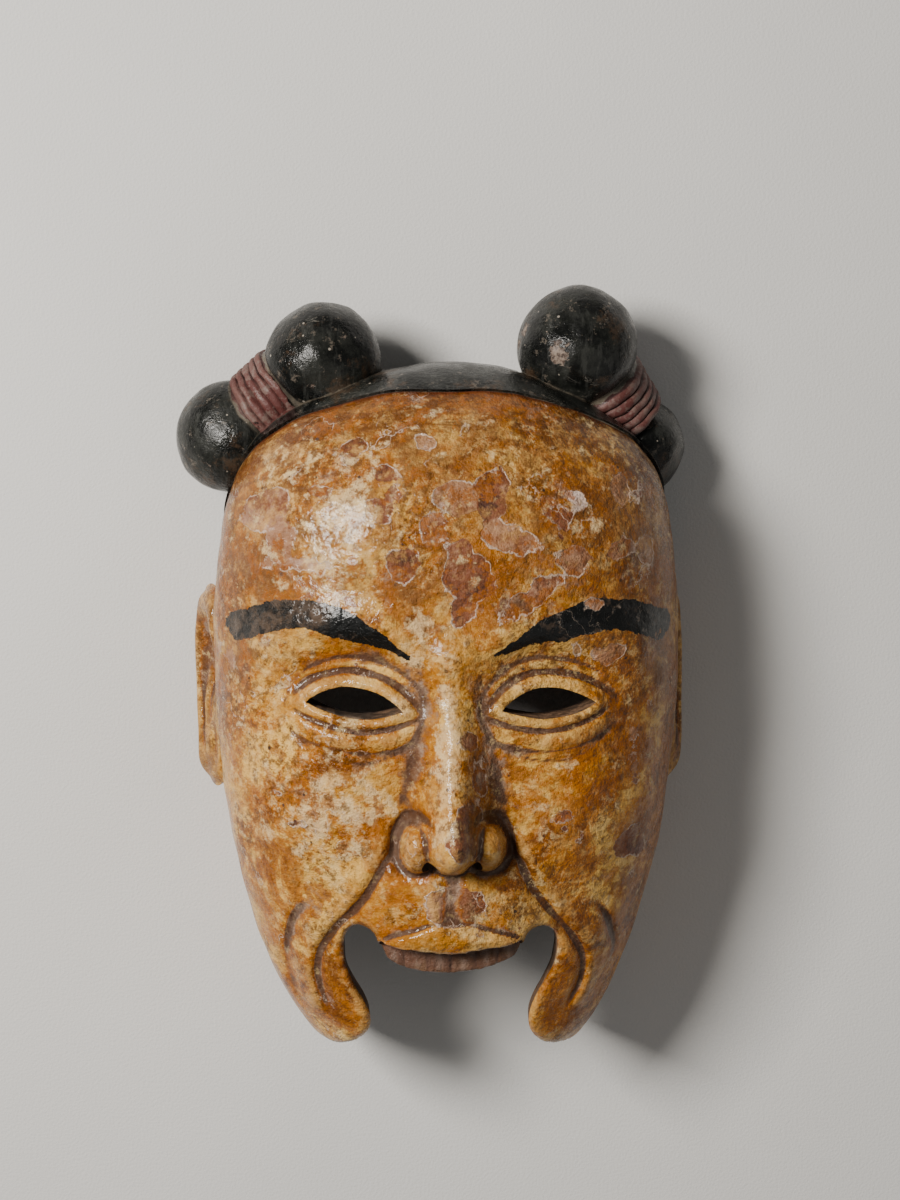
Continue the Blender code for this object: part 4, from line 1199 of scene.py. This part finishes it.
def lacquered_skin():
    """Old tan lacquer with brown stains, dirt in the grooves, flaked patches and black eyebrows."""
    skin = Finish("tan_lacquer")
    mix, over, ramp, clouds = skin.mix, skin.over, skin.ramp, skin.clouds
    plus, times, field = skin.plus, skin.times, skin.field
    top = ramp(field("hairline"), -42.0, -4.0)
    forehead = ramp(field("hairline"), -90.0, -64.0)

    # cream and golden lacquer, with an orange brown glaze that gathers in clouds
    skin.colour = mix(ramp(clouds(26, 0.70), -1.2, 1.2), TAN, CREAM)
    over(ramp(clouds(95, 0.74), 0.2, 2.0, 0.0, 0.50), PALE_CREAM)
    glaze = plus(clouds(42, 0.74, 0.5), times(field("stain"), 2.1), top)
    over(ramp(glaze, 0.2, 2.0, 0.0, 0.86), ORANGE_GLAZE)
    over(ramp(glaze, 1.8, 4.2, 0.0, 0.86), BROWN_GLAZE)
    wash = times(forehead, ramp(clouds(70, 0.78), -1.8, 1.6, 0.26, 0.82))
    over(wash, FOREHEAD_WASH)

    # patches where the lacquer has flaked off
    loss = plus(field("loss"), times(clouds(70, 0.50), 0.80), times(clouds(260, 0.66), 0.15))
    loss = skin.math("MAXIMUM", loss, times(plus(clouds(48, 0.62), -3.25), 2.5))
    lost = ramp(loss, -0.05, 0.25)
    darkness = field("loss_dark")
    tone = plus(darkness, times(clouds(100, 0.72), 0.17))
    under = mix(ramp(tone, -0.45, 0.05), PALE_GROUND, PINK_GROUND)
    under = mix(ramp(tone, 0.10, 0.70), under, RED_GROUND)
    under = mix(ramp(tone, 0.80, 1.25, 0.0, 0.92), under, DARK_GROUND)
    see = skin.math("MAXIMUM", ramp(darkness, 0.05, 0.55, 0.60, 0.98), ramp(darkness, 0.0, -0.4))
    over(times(lost, see), under)

    # brown brush streaks across the top of the forehead
    strokes = clouds(170, 0.74, 0.4, skin.place((0.20, 1.0, 0.6)))
    streak = times(ramp(strokes, -1.1, 1.3), plus(0.14, times(top, 0.78)))
    over(streak, STREAK_BROWN)
    smudge = ramp(plus(clouds(60, 0.80), top), 0.6, 2.4, 0.0, 0.62)
    over(smudge, SMUDGE_BROWN)

    # pale worn places, with a painted highlight where the light falls on the left side
    pale_wear_and_highlight = plus(times(field("pale_wear_and_highlight"), 3.0), clouds(120, 0.72))
    over(ramp(pale_wear_and_highlight, 1.4, 3.6, 0.0, 0.62), WEAR_AND_HIGHLIGHT_CREAM)

    # dirt in the grooves, an orange brown edge round it, ridges worn pale with a painted highlight,
    # and darker narrow creases
    dirt = plus(field("groove"), times(clouds(64, 0.76), 0.120))
    over(times(ramp(dirt, -0.02, 0.12), 0.75), GROOVE_ORANGE)
    deposit = mix(ramp(clouds(55, 0.76), -1.2, 1.4), DARK_DIRT, GREY_DIRT)
    over(ramp(dirt, 0.10, 0.42, 0.0, 0.88), deposit)
    # ridges lighter: worn paint and a painted highlight
    ridge = times(ramp(dirt, -0.10, -0.42, 0.0, 0.55), ramp(clouds(80, 0.74), -1.5, 1.0))
    over(ridge, RIDGE_WEAR_AND_HIGHLIGHT)
    # darker in the narrowest creases
    creased = plus(field("crease"), times(clouds(200, 0.7), 0.014))
    over(ramp(creased, 0.050, 0.140, 0.0, 0.70), CREASE_DARKENING)

    # grainy dirt in the pores, and small dark specks
    fine = clouds(280, 0.78)
    crowd = ramp(clouds(30, 0.72), -1.0, 1.5, 0.25, 1.0)
    crowd = times(crowd, skin.math("SUBTRACT", 1.0, times(lost, 0.5)))
    over(times(ramp(fine, -0.2, 2.0, 0.0, 0.75), crowd), PORE_DIRT)
    over(times(ramp(fine, -0.8, -2.4, 0.0, 0.34), crowd), PORE_LIGHT)
    over(times(skin.dots(400, 0.34, 0.16), crowd, 0.9), SPECK)

    # broken pale edges of the flakes, and flakes that show only as an outline
    edge = times(ramp(loss, -0.42, 0.0), ramp(loss, 0.52, 0.08))
    line = skin.math("ABSOLUTE", plus(clouds(60, 0.50), -1.6))
    line = times(ramp(line, 0.16, 0.03), ramp(clouds(18, 0.6), 0.2, 1.0), 0.75)
    edge = times(skin.math("MAXIMUM", edge, line), ramp(clouds(90, 0.74), -1.0, 1.2))
    over(times(edge, 0.85), FLAKE_EDGE)

    # black eyebrows, chipped along their edges, the left one worn thin
    brow = plus(field("brow"), times(clouds(150, 0.72), 0.26))
    brow = times(ramp(brow, 0.0, 0.22), skin.math("SUBTRACT", 1.0, lost))
    thin = times(field("brow_worn"), ramp(clouds(170, 0.80), -1.8, 2.0, 0.05, 0.80))
    thin = plus(thin, ramp(clouds(110, 0.76), 0.8, 2.4, 0.0, 0.5))
    black = mix(thin, BROW_BLACK, BROW_WORN)
    flake = skin.math("ABSOLUTE", plus(clouds(130, 0.50), -1.15))
    flake = times(ramp(flake, 0.20, 0.03), ramp(clouds(40, 0.6), -0.3, 0.6))
    flake = skin.math("MAXIMUM", times(edge, 0.60), times(flake, 0.50))
    over(brow, mix(flake, black, BROW_FLAKE))

    # brown teeth with a paler bar down each, and the red brown edge under the hair
    over(times(field("teeth"), 0.92), TOOTH_BROWN)
    bars = times(field("tooth_bar"), ramp(clouds(120, 0.7), -1.0, 1.0, 0.0, 0.5))
    over(bars, TOOTH_PALE)
    fringe = plus(field("hairline"), times(clouds(110, 0.74), 0.36))
    over(ramp(fringe, -3.4, -0.3, 0.0, 0.85), FRINGE_RED)

    rough = ramp(clouds(52, 0.76), -1.8, 1.8, 0.20, 0.50)
    rough = plus(rough, times(lost, 0.10), ramp(dirt, 0.05, 0.30, 0.0, 0.26))
    height = plus(times(clouds(480, 0.72), 0.042), times(clouds(140, 0.68), 0.100),
                  times(lost, -0.26), times(edge, 0.14), times(brow, 0.06))
    gloss = plus(times(clouds(330, 0.50), 0.026), times(clouds(100, 0.50), 0.070),
                 times(lost, -0.20), times(edge, 0.10))
    return skin.done(rough, height, Specular_IOR_Level=0.12, Coat_Weight=0.42, Coat_Roughness=0.065,
                     Coat_Normal=skin.bumped(gloss, 0.001, 0.80))


def black_hair():
    """Black lacquer of the hair, scuffed brown in places, with the dark red cords that bind it."""
    hair = Finish("black_lacquer")
    mix, over, ramp, clouds = hair.mix, hair.over, hair.ramp, hair.clouds
    plus, times, field = hair.plus, hair.times, hair.field
    hair.colour = mix(ramp(clouds(36, 0.72), -1.4, 1.6), HAIR_BLACK, HAIR_GREY)
    brushed = clouds(300, 0.72, 0.2, hair.place((1.0, 0.25, 0.25)))
    over(ramp(brushed, 0.4, 2.6, 0.0, 0.38), BRUSHED_GREY)
    over(ramp(clouds(50, 0.76), 1.0, 2.8, 0.0, 0.60), SCUFF_BROWN)
    over(ramp(clouds(170, 0.80), 1.6, 3.0, 0.0, 0.60), SCUFF_PALE)
    creased = field("crease")
    dust = plus(creased, times(clouds(150, 0.74), 0.022))
    dusty = ramp(clouds(60, 0.76), -1.6, 1.4, 0.15, 0.75)
    over(times(ramp(dust, 0.055, 0.230), dusty), CREASE_DUST)
    over(ramp(field("groove"), 0.05, 0.60, 0.0, 0.25), GROOVE_DUST)
    over(times(hair.dots(420, 0.26, 0.12), 0.8), HAIR_SPECK)
    scratch = hair.math("ABSOLUTE", plus(clouds(120, 0.50, 0.6, hair.place((0.5, 1.0, 1.0))), -1.3))
    scratch = times(ramp(scratch, 0.10, 0.02), ramp(clouds(34, 0.6), 0.3, 1.2), 0.55)
    over(scratch, SCRATCH)

    chips = plus(field("chip"), times(clouds(230, 0.76), 0.60))
    chips = hair.math("MAXIMUM", chips, times(plus(clouds(190, 0.76), -3.9), 1.2))
    chips = ramp(chips, -0.1, 1.2)
    inner = mix(ramp(clouds(260, 0.74), -1.2, 1.2), CHIP_BROWN, CHIP_PALE)
    over(times(chips, 0.62), inner)

    # dull red cords, dusty on their backs and dark between the strands
    cord = ramp(plus(field("binding"), times(clouds(150, 0.6), 0.25)), 0.0, 0.3)
    red = mix(ramp(clouds(62, 0.78), -1.2, 1.2), CORD_RED, CORD_PINK)
    red = mix(ramp(clouds(200, 0.80), -0.2, 1.9, 0.0, 0.62), red, CORD_DUST)
    between = plus(creased, times(clouds(160, 0.7), 0.016))
    between = times(ramp(between, 0.0, 0.090, 0.0, 0.86), ramp(clouds(48, 0.7), -1.6, 0.8, 0.35, 1.0))
    red = mix(between, red, CORD_DARK)
    over(cord, red)

    rough = ramp(clouds(70, 0.76), -1.6, 1.8, 0.15, 0.38)
    rough = plus(rough, times(cord, 0.30), times(chips, 0.2))
    height = plus(times(clouds(130, 0.70), 0.028), times(clouds(700, 0.66), 0.009),
                  times(chips, -0.16))
    return hair.done(rough, height, Specular_IOR_Level=0.31)


def bare_wood():
    """The raw wood of the hollow and of the cut edges, dark with age."""
    wood = Finish("old_wood")
    mix, over, ramp = wood.mix, wood.over, wood.ramp
    clouds, plus, times = wood.clouds, wood.plus, wood.times
    along = wood.place((1.0, 0.07, 1.0))
    rings = clouds(230, 0.65, 0.6, along)
    wood.colour = mix(ramp(rings, -1.6, 1.8), WOOD_DARK, WOOD_PALE)
    over(ramp(clouds(35, 0.70), 0.0, 2.2, 0.0, 0.75), WOOD_SHADE)
    over(ramp(clouds(1400, 0.60, 0.0, along), 0.8, 2.2, 0.0, 0.65), WOOD_PORE)
    over(ramp(clouds(60, 0.76), 1.2, 2.8, 0.0, 0.5), WOOD_WORN)
    height = plus(times(rings, 0.030), times(clouds(60, 0.5), 0.060))
    return wood.done(ramp(rings, -2.0, 2.0, 0.60, 0.84), height)


def pale_floor():
    paper = Finish("pale_floor")
    paper.colour = paper.mix(paper.ramp(paper.clouds(3.0, 0.5), -2.0, 2.0),
                             (0.71, 0.70, 0.68), (0.75, 0.74, 0.72))
    bpy.ops.mesh.primitive_plane_add(size=6.0, location=(0.0, 0.0, -0.0002))
    floor = bpy.context.object
    floor.name = "floor"
    floor.data.materials.append(paper.done(0.85, paper.clouds(900, 0.5), 0.00002, 0.5))


def soft_light(name, power, size, place_at, look_at, tint):
    light = bpy.data.lights.new(name, "AREA")
    light.energy = power
    light.size = size
    light.color = tint
    lamp = bpy.data.objects.new(name, light)
    bpy.context.scene.collection.objects.link(lamp)
    lamp.location = place_at
    lamp.rotation_euler = (Vector(look_at) - Vector(place_at)).to_track_quat("-Z", "Y").to_euler()


def studio():
    soft_light("key", 25.0, 0.40, (-0.73, 0.42, 0.97), (0.0, 0.0, 0.05), (1.0, 0.96, 0.90))
    soft_light("fill", 1.7, 1.4, (0.9, -0.6, 0.9), (0.0, 0.0, 0.05), (1.0, 0.98, 0.95))
    world = bpy.data.worlds.new("studio")
    bpy.context.scene.world = world
    world.use_nodes = True
    world.node_tree.nodes["Background"].inputs["Color"].default_value = (0.79, 0.78, 0.76, 1.0)
    world.node_tree.nodes["Background"].inputs["Strength"].default_value = 0.15


def camera():
    data = bpy.data.cameras.new("camera")
    data.sensor_width = 36.0
    data.lens = data.sensor_width * CAMERA_DISTANCE / FRAME_HEIGHT
    cam = bpy.data.objects.new("camera", data)
    bpy.context.scene.collection.objects.link(cam)
    away = Vector((-math.sin(CAMERA_FROM_LEFT), math.sin(CAMERA_FROM_CROWN), 0.0))
    away.z = math.sqrt(1.0 - away.length_squared)
    right = Vector((0.0, 1.0, 0.0)).cross(away).normalized()
    up = away.cross(right)
    turn = Matrix((right, up, away)).transposed()
    cam.matrix_world = Matrix.Translation(Vector(CAMERA_AIM) + away * CAMERA_DISTANCE) @ turn.to_4x4()
    bpy.context.scene.camera = cam


def finished_mask():
    """The carved and painted mask as one piece in the CAD node's place."""
    noise.seed_set(NOISE_SEED)
    mesh = carved_mask(lacquered_skin(), black_hair(), bare_wood())
    uneven_hair(mesh)
    paint_fields(mesh)
    hand_carved(mesh)
    mesh.transform(Matrix.Translation((*PLACE, 0.0)))
    mesh.shade_smooth()
    mesh.set_sharp_from_angle(angle=math.radians(50))
    piece = bpy.data.objects.new("carved_mask", mesh)
    bpy.context.scene.collection.objects.link(piece)
    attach(piece, "root")
    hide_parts("mask")
    print("triangles", sum(len(face.vertices) - 2 for face in mesh.polygons))


camera()
studio()
pale_floor()
finished_mask()
